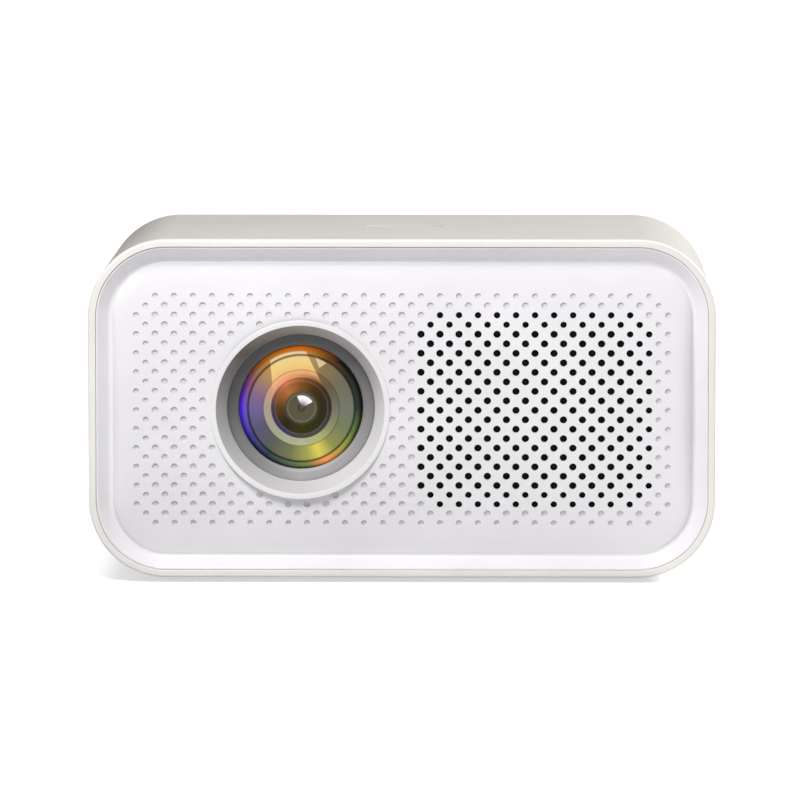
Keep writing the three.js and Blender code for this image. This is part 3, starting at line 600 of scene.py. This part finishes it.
# ---- housing ----
def pill_ring(length, width, centre, z, steps=20):
    radius = width / 2
    points = []
    for side, turn in ((1, -0.25), (-1, 0.25)):
        for i in range(steps + 1):
            angle = (turn + 0.5 * i / steps) * TAU
            x = side * (length / 2 - radius) + radius * math.cos(angle)
            points.append(Vector((centre.x + x, centre.y + radius * math.sin(angle), z)))
    return points


def circle_ring(centre, radius, along, axis="Y", steps=48):
    return [turned_point(axis, centre, radius, TAU * i / steps, along) for i in range(steps)]


def wall_rings(front, rear, outer_edge, rear_edge, inner_edge, steps=4):
    """The closed section of a thin housing wall, with rounded edges."""
    corners = [(0, front, outer_edge), (0, rear, rear_edge), (WALL, rear, rear_edge),
               (WALL, front, inner_edge)]
    return [body_ring(inset, y) for inset, y in rounded_profile(corners, steps)[:-1]]


def build_sleeve():
    rings = wall_rings(sleeve_lo.y, REAR, 0.15 * MM, 0.7 * MM, 0.15 * MM)
    sleeve = recalc(ring_solid("sleeve_shell", rings, "shell"))
    centre = (button_lo + button_hi) / 2
    gap, lip = 0.3 * MM, 0.35 * MM
    length, width = BUTTON_LENGTH + 2 * gap, BUTTON_WIDTH + 2 * gap
    hole = loft_tool([
        pill_ring(length, width, centre, TOP_Z - 2 * WALL),
        pill_ring(length, width, centre, TOP_Z - lip),
        pill_ring(length + 0.6 * lip, width + 0.6 * lip, centre, TOP_Z - 0.4 * lip),
        pill_ring(length + 2.2 * lip, width + 2.2 * lip, centre, TOP_Z + 0.1 * lip),
    ])
    nut_lo, nut_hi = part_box("tripod_nut")
    nut = (nut_lo + nut_hi) / 2
    nut_radius = (nut_hi.x - nut_lo.x) / 2 + gap
    floor = sleeve_lo.z
    nut_hole = loft_tool([
        circle_ring(nut, nut_radius + lip, floor - 0.1 * lip, "Z"),
        circle_ring(nut, nut_radius, floor + lip, "Z"),
        circle_ring(nut, nut_radius, floor + 2 * WALL, "Z"),
    ])
    carve(sleeve, [hole, nut_hole])
    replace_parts(smooth(sleeve, 30), "housing_sleeve")


def build_bezel():
    rings = wall_rings(FRONT, bezel_hi.y, 0.85 * MM, 0.15 * MM, 0.3 * MM, 7)
    bezel = ring_solid("bezel_ring", rings, "bezel_cream")
    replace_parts(smooth(recalc(bezel), 50), "front_bezel")


def build_button():
    centre = (button_lo + button_hi) / 2
    edge = 0.5 * MM
    length, width = BUTTON_LENGTH, BUTTON_WIDTH
    rings = [pill_ring(length, width, centre, button_lo.z + 3 * MM)]
    for i in range(7):
        turn = i / 6 * TAU / 4
        draw = edge * (1 - math.cos(turn))
        rings.append(pill_ring(length - 2 * draw, width - 2 * draw, centre,
                               TOP_Z - edge + edge * math.sin(turn)))
    for shrink, dish in ((0.9, 0.05), (0.7, 0.16), (0.45, 0.26), (0.2, 0.3)):
        rings.append(pill_ring(length - width * (1 - shrink), width * shrink, centre, TOP_Z - dish * MM))
    button = ring_solid("button_cap", rings, "shell", closed=False, body="power_key")
    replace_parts(recalc(button), "power_button")


# ---- front panel ----
PITCH = 5.6 * MM
ROWS, COLUMNS = 12, 14               # rows each side of the middle row, columns each side of the middle
OPEN_ROWS = 10                       # of these rows, the ones with open holes
FIELD_Z = MID_Z - 0.4 * MM
CLEAR_OF_LENS = 27.16 * MM
PILLOW_INSET = 7.1 * MM
PILLOW_ROLL = 5.0 * MM
PILLOW_FRONT = FRONT + 0.3 * MM
PILLOW_RADIUS = 260 * MM
VALLEY = FRONT + 4.0 * MM
DOT_STEPS = 18
HOLE_RADIUS, HOLE_SMALL = 1.14 * MM, 1.01 * MM
DIMPLE_RADIUS, DIMPLE_EDGE = 1.04 * MM, 0.90 * MM
# the rings of a dot, from its rim inwards: part of the radius, depth in mm, lean of the normal in degrees
DIMPLE = ((1.0, 0.0, 0), (0.96, 0.05, 48), (0.91, 0.38, 62), (0.83, 0.50, 20), (0.70, 0.52, 0))
HOLE = ((1.0, 0.0, 0), (0.975, 0.03, 45), (0.955, 0.10, 78), (0.95, 0.5, 90))
SKIN = 1.7 * MM                      # thickness of the dotted face


def dots():
    """Every dot of the lattice as (x, z, radius, open), on a square lattice turned by 45 degrees."""
    found = []
    for row in range(-ROWS, ROWS + 1):
        odd = row % 2
        for column in range(-COLUMNS, COLUMNS + 1 - odd):
            if abs(row) == ROWS and abs(column) == COLUMNS:
                continue
            across = column + 0.5 * odd
            x, z = across * PITCH, FIELD_Z - row * PITCH / 2
            if math.hypot(x - LENS.x, z - LENS.z) < CLEAR_OF_LENS:
                continue
            first, last = (1.0, 13.2) if abs(row) < OPEN_ROWS else (1.6, 12.2)
            is_open = abs(row) <= OPEN_ROWS and first - 0.01 < across < last
            edge_dot = abs(row) == ROWS or abs(across) > COLUMNS - 1
            radius = DIMPLE_EDGE if edge_dot else DIMPLE_RADIUS
            if is_open:
                outer = 12.6 - (abs(row) == OPEN_ROWS - 2) - 0.5 * odd
                is_small = abs(row) > OPEN_ROWS - 2 or across > outer
                radius = HOLE_SMALL if is_small else HOLE_RADIUS
            found.append((x, z, radius, is_open))
    return found


def face_y(z):
    """The gently domed face: curved from top to bottom, straight from side to side."""
    return PILLOW_FRONT + (z - MID_Z) ** 2 / (2 * PILLOW_RADIUS)


def face_normal(z):
    return Vector((0, -1, (z - MID_Z) / PILLOW_RADIUS)).normalized()


def fill_plane(outline, circles):
    """Triangles over an outline with round holes in it: the points (x, z), the faces, and the loops of point
    numbers, first the outline's and then each circle's in order."""
    points = list(outline)
    loops = [list(range(len(outline)))]
    for (x, z, radius, steps) in circles:
        start = len(points)
        points += [Vector((x + radius * math.cos(TAU * i / steps), z + radius * math.sin(TAU * i / steps)))
                   for i in range(steps)]
        loops.append(list(range(start, start + steps)))
    half_w = max(p.x for p in outline) - 0.7 * GRID
    half_h = max(abs(p.y - MID_Z) for p in outline) - 0.7 * GRID
    inner_radius = CORNER - PILLOW_INSET - PILLOW_ROLL - 0.4 * GRID
    columns, rows = int(half_w / GRID), int(half_h / GRID)
    lens, index = circles[0], circle_index(circles[1:])
    for i in range(-columns, columns + 1):
        for j in range(-rows, rows + 1):
            x, z = i * GRID, FIELD_Z + j * GRID
            if inside_rounded(x, z - MID_Z, half_w, half_h, inner_radius) \
                    and not near_circle(x, z, lens, index, 0.35 * MM):
                points.append(Vector((x, z)))
    edges = [(loop[k], loop[(k + 1) % len(loop)]) for loop in loops for k in range(len(loop))]
    out_points, _, out_faces, sources, _, _ = delaunay_2d_cdt(points, edges, [], 0, 1e-7)
    where = {}
    for new, olds in enumerate(sources):
        for old in olds:
            where[old] = new
    kept = []
    for face in out_faces:
        middle = sum((out_points[i] for i in face), Vector((0, 0))) / len(face)
        if not near_circle(middle.x, middle.y, lens, index, -0.002 * MM):
            kept.append(list(face))
    return out_points, kept, [[where[i] for i in loop] for loop in loops]


def inside_rounded(x, z, half_w, half_h, radius):
    dx, dz = abs(x) - (half_w - radius), abs(z) - (half_h - radius)
    if dx <= 0 or dz <= 0:
        return abs(x) <= half_w and abs(z) <= half_h
    return math.hypot(dx, dz) <= radius


def near_circle(x, z, lens, index, margin):
    """Whether a point lies within margin of the lens circle or of one of the indexed circles."""
    column, row = round(x / PITCH), round((z - FIELD_Z) / PITCH)
    for i in (column - 1, column, column + 1):
        for j in (row - 1, row, row + 1):
            for cx, cz, radius, _ in index.get((i, j), ()):
                if math.hypot(x - cx, z - cz) < radius + margin:
                    return True
    return math.hypot(x - lens[0], z - lens[1]) < lens[2] + margin


def circle_index(circles):
    """The circles by the lattice cell that holds them."""
    index = {}
    for circle in circles:
        cell = (round(circle[0] / PITCH), round((circle[1] - FIELD_Z) / PITCH))
        index.setdefault(cell, []).append(circle)
    return index


def roll(inset, z):
    """Depth of the pillow's rolled edge: it leaves the channel steeply and settles into the face."""
    t = min(max((inset - PILLOW_INSET) / PILLOW_ROLL, 0), 1)
    rise = 1 - math.sqrt(max(0.0, 1 - (1 - t) ** 2.6))
    return face_y(z) + (VALLEY - 0.15 * MM - face_y(z)) * rise


def build_front_panel():
    lattice = dots()
    lens_hole = (LENS.x, LENS.z, 25.7 * MM, 96)
    rings = []
    # from the back outer edge, over the rim, down the slope of the channel and through its valley
    section = [(2.29, 6.6, 0.2), (2.29, 0.4, 0.12), (2.75, 0.4, 0.2), (5.9, 3.85, 0.5), (6.75, 4.0, 0.25),
               (7.1, 3.85, 0.0)]
    for inset, y in open_fillets([(a * MM, FRONT + b * MM, c * MM) for a, b, c in section]):
        rings.append(body_ring(inset, y, GRID))
    steps = 9
    for i in range(steps + 1):
        inset = PILLOW_INSET + PILLOW_ROLL * (1 - math.cos(i / steps * TAU / 4))
        ring = body_ring(inset, 0, GRID)
        for p in ring:
            p.y = roll(inset, p.z)
        rings.append(ring)
    points = [p for ring in rings for p in ring]
    count = len(rings[0])
    faces = []
    for i in range(len(rings) - 1):
        bridge(faces, i * count, (i + 1) * count, count)
    normals = {}

    outline = [Vector((p.x, p.z)) for p in rings[-1]]
    last = (len(rings) - 1) * count
    circles = [lens_hole] + [(x, z, r, DOT_STEPS) for x, z, r, _ in lattice]
    flat, flat_faces, loops = fill_plane(outline, circles)
    offset = {}
    for new, old in zip(loops[0], range(last, last + count)):
        offset[new] = old
    for i, p in enumerate(flat):
        if i not in offset:
            offset[i] = len(points)
            points.append(Vector((p.x, face_y(p.y), p.y)))
    for i, p in enumerate(flat):
        normals[offset[i]] = face_normal(p.y)
    faces += [[offset[i] for i in face] for face in flat_faces]

    # the back skin, with the open holes and the lens hole only
    open_dots = [(x, z, 0.95 * r, DOT_STEPS) for x, z, r, is_open in lattice if is_open]
    back_circles = [lens_hole] + open_dots
    back_flat, back_faces, back_loops = fill_plane(outline, back_circles)
    back_offset = len(points)
    points += [Vector((p.x, face_y(p.y) + SKIN, p.y)) for p in back_flat]
    faces += [[back_offset + i for i in face][::-1] for face in back_faces]
    back_ring = [back_offset + i for i in back_loops[0]]
    lip = []
    for inset, y in ((10.4, 6.6), (2.5, 6.6)):
        lip.append(len(points))
        points += body_ring(inset * MM, FRONT + y * MM, GRID)
    for a in range(count):
        b = (a + 1) % count
        faces.append([back_ring[a], back_ring[b], lip[0] + b, lip[0] + a])
        faces.append([lip[0] + a, lip[0] + b, lip[1] + b, lip[1] + a])
        faces.append([lip[1] + a, lip[1] + b, b, a])
    stitch(faces, [offset[i] for i in loops[1]], [back_offset + i for i in back_loops[1]])

    open_number, dimple_faces = 0, []
    for number, (x, z, radius, is_open) in enumerate(lattice):
        ring = [offset[i] for i in loops[number + 2]]
        profile = HOLE if is_open else DIMPLE
        first_face = len(faces)
        normal = face_normal(z)
        for part, depth, tilt in profile[1:]:
            start = len(points)
            for i in range(DOT_STEPS):
                out = Vector((math.cos(TAU * i / DOT_STEPS), 0, math.sin(TAU * i / DOT_STEPS)))
                spot_z = z + radius * part * out.z
                points.append(Vector((x + radius * part * out.x, face_y(spot_z) + depth * MM, spot_z)))
                lean = math.radians(tilt)
                normals[start + i] = (normal * math.cos(lean) - out * math.sin(lean)).normalized()
            new = list(range(start, start + DOT_STEPS))
            stitch(faces, ring, new)
            ring = new
        if is_open:
            stitch(faces, ring, [back_offset + i for i in back_loops[open_number + 2]])
            open_number += 1
        else:
            normals[len(points)] = normal
            points.append(Vector((x, face_y(z) + DIMPLE[-1][1] * MM, z)))
            faces += [[ring[i], len(points) - 1, ring[(i + 1) % DOT_STEPS]] for i in range(DOT_STEPS)]
            dimple_faces += range(first_face, len(faces))

    panel = make("pillow_panel", points, faces, "panel_white")
    # the dimples take the darker material: painted shade in the hollows
    panel.data.materials.append(MATERIALS["panel_dot"])
    for i in dimple_faces:
        panel.data.polygons[i].material_index = 1
    recalc(panel)
    smooth(panel, 45)
    soften(panel, normals)
    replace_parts(panel, "front_panel")


def soften(obj, normals):
    """Gives the face and its dots the normals of the true surface, and leaves the rest as it is shaded."""
    mesh = obj.data
    custom = [tuple(corner.vector) for corner in mesh.corner_normals]
    for i, loop in enumerate(mesh.loops):
        if loop.vertex_index in normals:
            custom[i] = tuple(normals[loop.vertex_index])
    for polygon in mesh.polygons:
        if polygon.normal.y > 0.5:
            for i in polygon.loop_indices:
                custom[i] = tuple(polygon.normal)
    mesh.normals_split_custom_set(custom)


# ---- lens ----
def build_trim_ring():
    front, back = trim_lo.y, trim_hi.y
    mouth, flange, body, throat = 24.9 * MM, 26.5 * MM, 25.4 * MM, 21.8 * MM
    under, cone_end = FRONT + 0.62 * MM, back - 4.6 * MM
    corners = [(mouth, front + 0.05 * MM, 0.18 * MM), (flange, front + 0.05 * MM, 0.25 * MM),
               (flange, under, 0.03 * MM), (body, under, 0.03 * MM), (body, back, 0.2 * MM),
               (throat, back, 0.2 * MM), (throat, cone_end, 0.35 * MM)]
    # the funnel's tone is painted shade and light by angle
    ring = turned("funnel_ring", rounded_profile(corners), LENS, "funnel", segments=160)
    paint_faces(ring, MATERIALS["panel_white"], lambda c, n: c.y < front + 0.5 * MM and n.y < -0.5)
    lip = throat + 0.12 * MM
    # the lip round the throat carries a painted highlight at the upper left and painted shade at the right
    paint_faces(ring, MATERIALS["funnel_lip"],
                lambda c, n: math.hypot(c.x - LENS.x, c.z - LENS.z) < lip and c.y < back - 1 * MM)
    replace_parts(ring, "lens_trim_ring")


def paint_faces(obj, material, test):
    obj.data.materials.append(material)
    for polygon in obj.data.polygons:
        if test(polygon.center, polygon.normal):
            polygon.material_index = len(obj.data.materials) - 1


def build_lens():
    front = retainer_lo.y
    glass, outer = 18.4 * MM, 21.77 * MM
    corners = [(glass, front + 0.7 * MM, 0.1 * MM), (glass + 0.7 * MM, front, 0.2 * MM),
               (outer, front, 0.15 * MM), (outer, retainer_hi.y, 0.1 * MM), (glass, retainer_hi.y, 0.1 * MM)]
    # the retainer's tone is painted shade, darker above and lighter below
    ring = turned("retainer_ring", rounded_profile(corners), LENS, "lens_ring", segments=144,
                  body="lens_group")
    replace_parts(ring, "lens_retainer")

    edge = glass - 0.05 * MM
    rise = [k / 14 for k in range(15)]
    dome = [(edge * t, front + (0.6 + 2.3 * (1 - math.sqrt(1 - 0.96 * t * t))) * MM) for t in rise]
    back = [(edge, front + 4.2 * MM), (edge * 0.75, front + 4.5 * MM), (edge * 0.4, front + 4.9 * MM),
            (0, front + 5.1 * MM)]
    element = turned("front_element", dome + back, LENS, "coated_glass", segments=128, body="lens_group",
                     degrees=50)
    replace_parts(element, "lens_front")


def build_coatings():
    """The stepped cells seen through the glass, one skin that carries the painted reflections of the
    coatings, which also glow.
    """
    front = retainer_lo.y
    steps = [(18.34, 4.4), (16.3, 4.6), (16.1, 4.8), (15.65, 4.85), (15.5, 4.75), (11.45, 5.2), (11.3, 5.4),
             (9.1, 5.5), (8.95, 5.8), (7.9, 5.9), (4.4, 6.3), (4.1, 6.4), (2.0, 6.3), (0, 6.25)]
    profile = [(r * MM, front + y * MM) for r, y in steps]
    back = [(0, front + 10.0 * MM), (15.6 * MM, front + 10.0 * MM), (15.7 * MM, front + 6.8 * MM),
            (18.34 * MM, front + 6.8 * MM), (18.34 * MM, front + 4.5 * MM)]
    turned("coated_cells", profile + back, LENS, "coated_glass", segments=160, body="lens_group",
           material=painted_lens_reflections("painted_coating_reflections", LENS - Vector((0, 0, 0.7 * MM))))


def build_grille_cloth():
    """The black cloth behind the open holes, bent to the back of the domed face."""
    lo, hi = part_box("grille_cloth")
    steps, points, faces = 28, [], []
    for k in range(steps + 1):
        z = lo.z + (hi.z - lo.z) * k / steps
        near, far = (face_y(z) + SKIN + gap * MM for gap in (0.03, 0.19))
        points += [(lo.x, near, z), (hi.x, near, z), (hi.x, far, z), (lo.x, far, z)]
    for k in range(steps):
        bridge(faces, 4 * k, 4 * k + 4, 4)
    faces += [[0, 1, 2, 3], [4 * steps + i for i in (3, 2, 1, 0)]]
    cloth = make("cloth_sheet", points, faces, "black_cloth")
    recalc(cloth)
    smooth(cloth, 40)
    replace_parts(cloth, "grille_cloth")


# ---- rear and underside ----
PORT_LINE = sum(v.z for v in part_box("hdmi_socket")) / 2
FAN_SLOTS = (9, 26 * MM, 78 * MM, 27.5 * MM)       # rows, left end, right end, height of the lowest
SIDE_SLOTS = (5, -70 * MM, -16 * MM, 59.5 * MM)
SLOT_HEIGHT, SLOT_PITCH = 3.2 * MM, 6.0 * MM
HOLE_LIP = 0.3 * MM


def rear_ring(x, z, width, height, radius, y, grow=0.0):
    outline = rounded_outline(width + 2 * grow, height + 2 * grow, radius + grow, steps=8)
    return [Vector((x + p.x, y, z + p.y)) for p in outline]


def rear_hole(x, z, width, height, radius):
    """A hole through the rear panel with a broken outer edge."""
    return loft_tool([rear_ring(x, z, width, height, radius, rear_lo.y - 1 * MM),
                      rear_ring(x, z, width, height, radius, rear_hi.y - HOLE_LIP),
                      rear_ring(x, z, width, height, radius, rear_hi.y + 0.1 * MM, HOLE_LIP + 0.1 * MM)])


def slot_places():
    for rows, left, right, low in (FAN_SLOTS, SIDE_SLOTS):
        for row in range(rows):
            yield (left + right) / 2, low + row * SLOT_PITCH, right - left


def build_rear_panel():
    edge = 0.5 * MM
    rings = [body_ring(PANEL_INSET, rear_lo.y)]
    for i in range(6):
        turn = i / 5 * TAU / 4
        rings.append(body_ring(PANEL_INSET + edge * (1 - math.cos(turn)),
                               rear_hi.y - edge + edge * math.sin(turn)))
    panel = ring_solid("rear_cover", rings, "rear_plastic", closed=False)
    recalc(panel)
    tools = [rear_hole(x, z, length, SLOT_HEIGHT, 0.48 * SLOT_HEIGHT) for x, z, length in slot_places()]
    for name in ("hdmi_socket", "usb_socket"):
        lo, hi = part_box(name)
        tools.append(rear_hole((lo.x + hi.x) / 2, (lo.z + hi.z) / 2, hi.x - lo.x + 0.6 * MM,
                               hi.z - lo.z + 0.6 * MM, 0.5 * MM))
    for name, radius in (("dc_inlet", 4.6), ("av_jack", 3.6), ("ir_window", 4.3)) + tuple(
            (f"rear_screw_{i}", 1.7) for i in range(1, 5)):
        lo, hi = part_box(name)
        x, z = (lo.x + hi.x) / 2, (lo.z + hi.z) / 2
        if name in ("dc_inlet", "av_jack"):
            z = PORT_LINE
        tools.append(loft_tool([circle_ring((x, 0, z), radius * MM, rear_lo.y - 1 * MM),
                                circle_ring((x, 0, z), radius * MM, rear_hi.y - HOLE_LIP),
                                circle_ring((x, 0, z), radius * MM + 0.4 * MM, rear_hi.y + 0.1 * MM)]))
    carve(panel, tools)
    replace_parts(smooth(panel, 30), "rear_panel")


def build_port_tongues():
    """The contact tongues inside the two sockets."""
    for socket, width, height, rise in (("hdmi_socket", 10.4, 1.1, 0.3), ("usb_socket", 10.8, 1.9, 1.0)):
        lo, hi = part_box(socket)
        x, z = (lo.x + hi.x) / 2, (lo.z + hi.z) / 2 + rise * MM
        rings = [rear_ring(x, z, width * MM, height * MM, 0.2 * MM, y, grow) for y, grow in (
            (lo.y + 1.2 * MM, 0), (hi.y - 1.9 * MM, 0), (hi.y - 1.7 * MM, -0.15 * MM))]
        tongue = ring_solid(f"tongue_{socket}", rings, "black_plastic", closed=False,
                            material=MATERIALS["socket_tongue"])
        recalc(tongue)


def build_rear_screws():
    """Pan heads with a cross recess."""
    for number in range(1, 5):
        lo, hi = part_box(f"rear_screw_{number}")
        centre = (lo + hi) / 2
        top, under = hi.y, hi.y - 1.0 * MM
        profile = [(0, lo.y), (0.9 * MM, lo.y), (1.3 * MM, lo.y + 0.7 * MM), (1.3 * MM, under),
                   (2.65 * MM, under)]
        profile += [((1.2 + 1.45 * math.cos(a)) * MM, under + (0.35 + 0.65 * math.sin(a)) * MM)
                    for a in [k / 6 * TAU / 4 for k in range(7)]] + [(0, top)]
        screw = turned(f"pan_screw_{number}", profile, centre, "black_steel", segments=40)
        arms = [loft_tool([rear_ring(centre.x, centre.z, w * MM, h * MM, 0.16 * MM, top + y * MM, grow * MM)
                           for y, grow in ((-0.75, -0.1), (0.1, 0))]) for w, h in ((2.6, 0.6), (0.6, 2.6))]
        carve(screw, arms)
        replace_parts(smooth(screw, 35), f"rear_screw_{number}")


def build_feet():
    for number in range(1, 5):
        lo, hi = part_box(f"foot_{number}")
        centre = (lo + hi) / 2
        radius = (hi.x - lo.x) / 2
        groove = lo.z + 0.25 * MM
        profile = [(0, lo.z), (radius * 0.42, lo.z), (radius * 0.46, groove), (radius * 0.54, groove),
                   (radius * 0.58, lo.z), (radius - 0.5 * MM, lo.z), (radius - 0.15 * MM, lo.z + 0.15 * MM),
                   (radius, lo.z + 0.5 * MM), (radius, hi.z), (0, hi.z)]
        foot = turned(f"pad_{number}", profile, centre, "rubber", axis="Z", segments=64)
        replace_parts(foot, f"foot_{number}")


# ---- stage, light and camera ----
def area_light(name, place, aim, size, power, color):
    data = bpy.data.lights.new(name, "AREA")
    data.energy = power
    data.color = color
    data.shape = "RECTANGLE"
    data.size, data.size_y = size
    light = bpy.data.objects.new(name, data)
    bpy.context.collection.objects.link(light)
    light.location = place
    light.rotation_euler = (Vector(aim) - Vector(place)).to_track_quat("-Z", "Y").to_euler()


def build_stage():
    """A pale floor, shown to the camera as white paper with a faint shadow under the projector."""
    n = Nodes("studio_floor")
    n.set(color=shades(n, n.noise(4.0), (0.3, FLOOR_TONE - 0.01), (0.7, FLOOR_TONE)), rough=0.9, specular=0.1,
          emission=(1, 1, 1, 1))
    seen = n.add("ShaderNodeLightPath")
    away = n.add("ShaderNodeVectorMath", {0: n.position}, operation="LENGTH").outputs["Value"]
    spread = n.add("ShaderNodeMapRange", {"Value": away, "From Min": 0.12, "From Max": 1.0,
                                          "To Min": GLOW_NEAR, "To Max": GLOW_FAR})
    n.set(glow=n.times(seen.outputs["Is Camera Ray"], spread.outputs["Result"]))
    half, low = 12, -0.05 * MM
    floor = plain("floor", [(-half, -half, low), (half, -half, low), (half, half, low), (-half, half, low)],
                  [(0, 1, 2, 3)])
    floor.data.materials.append(n.material)


def build_light():
    world = bpy.data.worlds.new("studio")
    bpy.context.scene.world = world
    world.use_nodes = True
    tree = world.node_tree
    background = tree.nodes["Background"]
    background.inputs["Color"].default_value = (1, 1, 1, 1)
    seen = tree.nodes.new("ShaderNodeLightPath")
    strength = tree.nodes.new("ShaderNodeMapRange")
    strength.inputs["To Min"].default_value = SKY
    strength.inputs["To Max"].default_value = 1.1
    tree.links.new(seen.outputs["Is Camera Ray"], strength.inputs["Value"])
    tree.links.new(strength.outputs["Result"], background.inputs["Strength"])
    aim = (0, FRONT, MID_Z)
    area_light("key_softbox", (-0.15, -0.45, 0.58), aim, (0.36, 0.24), KEY, (1, 0.99, 0.99))
    area_light("rear_strip", (0.6, 0.30, 0.45), (0.08, 0, TOP_Z), (0.3, 0.2), RIM, (1, 0.99, 0.98))


def build_camera():
    """A long lens a little above the front and very slightly to the right."""
    tilt, turn = math.radians(5.30), math.radians(0.78)
    distance = 2.1885
    target = Vector((-0.56 * MM, FRONT, MID_Z + 2.7 * MM))
    forward = Vector((-math.sin(turn) * math.cos(tilt), math.cos(turn) * math.cos(tilt), -math.sin(tilt)))
    data = bpy.data.cameras.new("camera")
    data.sensor_width = 36
    data.lens = 334.3
    data.clip_start, data.clip_end = 0.1, 60
    camera = bpy.data.objects.new("camera", data)
    bpy.context.collection.objects.link(camera)
    camera.location = target - forward * distance
    camera.rotation_euler = forward.to_track_quat("-Z", "Y").to_euler()
    bpy.context.scene.camera = camera


bpy.context.scene.view_settings.view_transform = "Standard"
dress_frame()
build_camera()
build_light()
build_stage()
build_sleeve()
build_bezel()
build_button()
build_front_panel()
build_grille_cloth()
build_trim_ring()
build_lens()
build_coatings()
build_rear_panel()
build_rear_screws()
build_port_tongues()
build_feet()

bpy.context.view_layer.update()
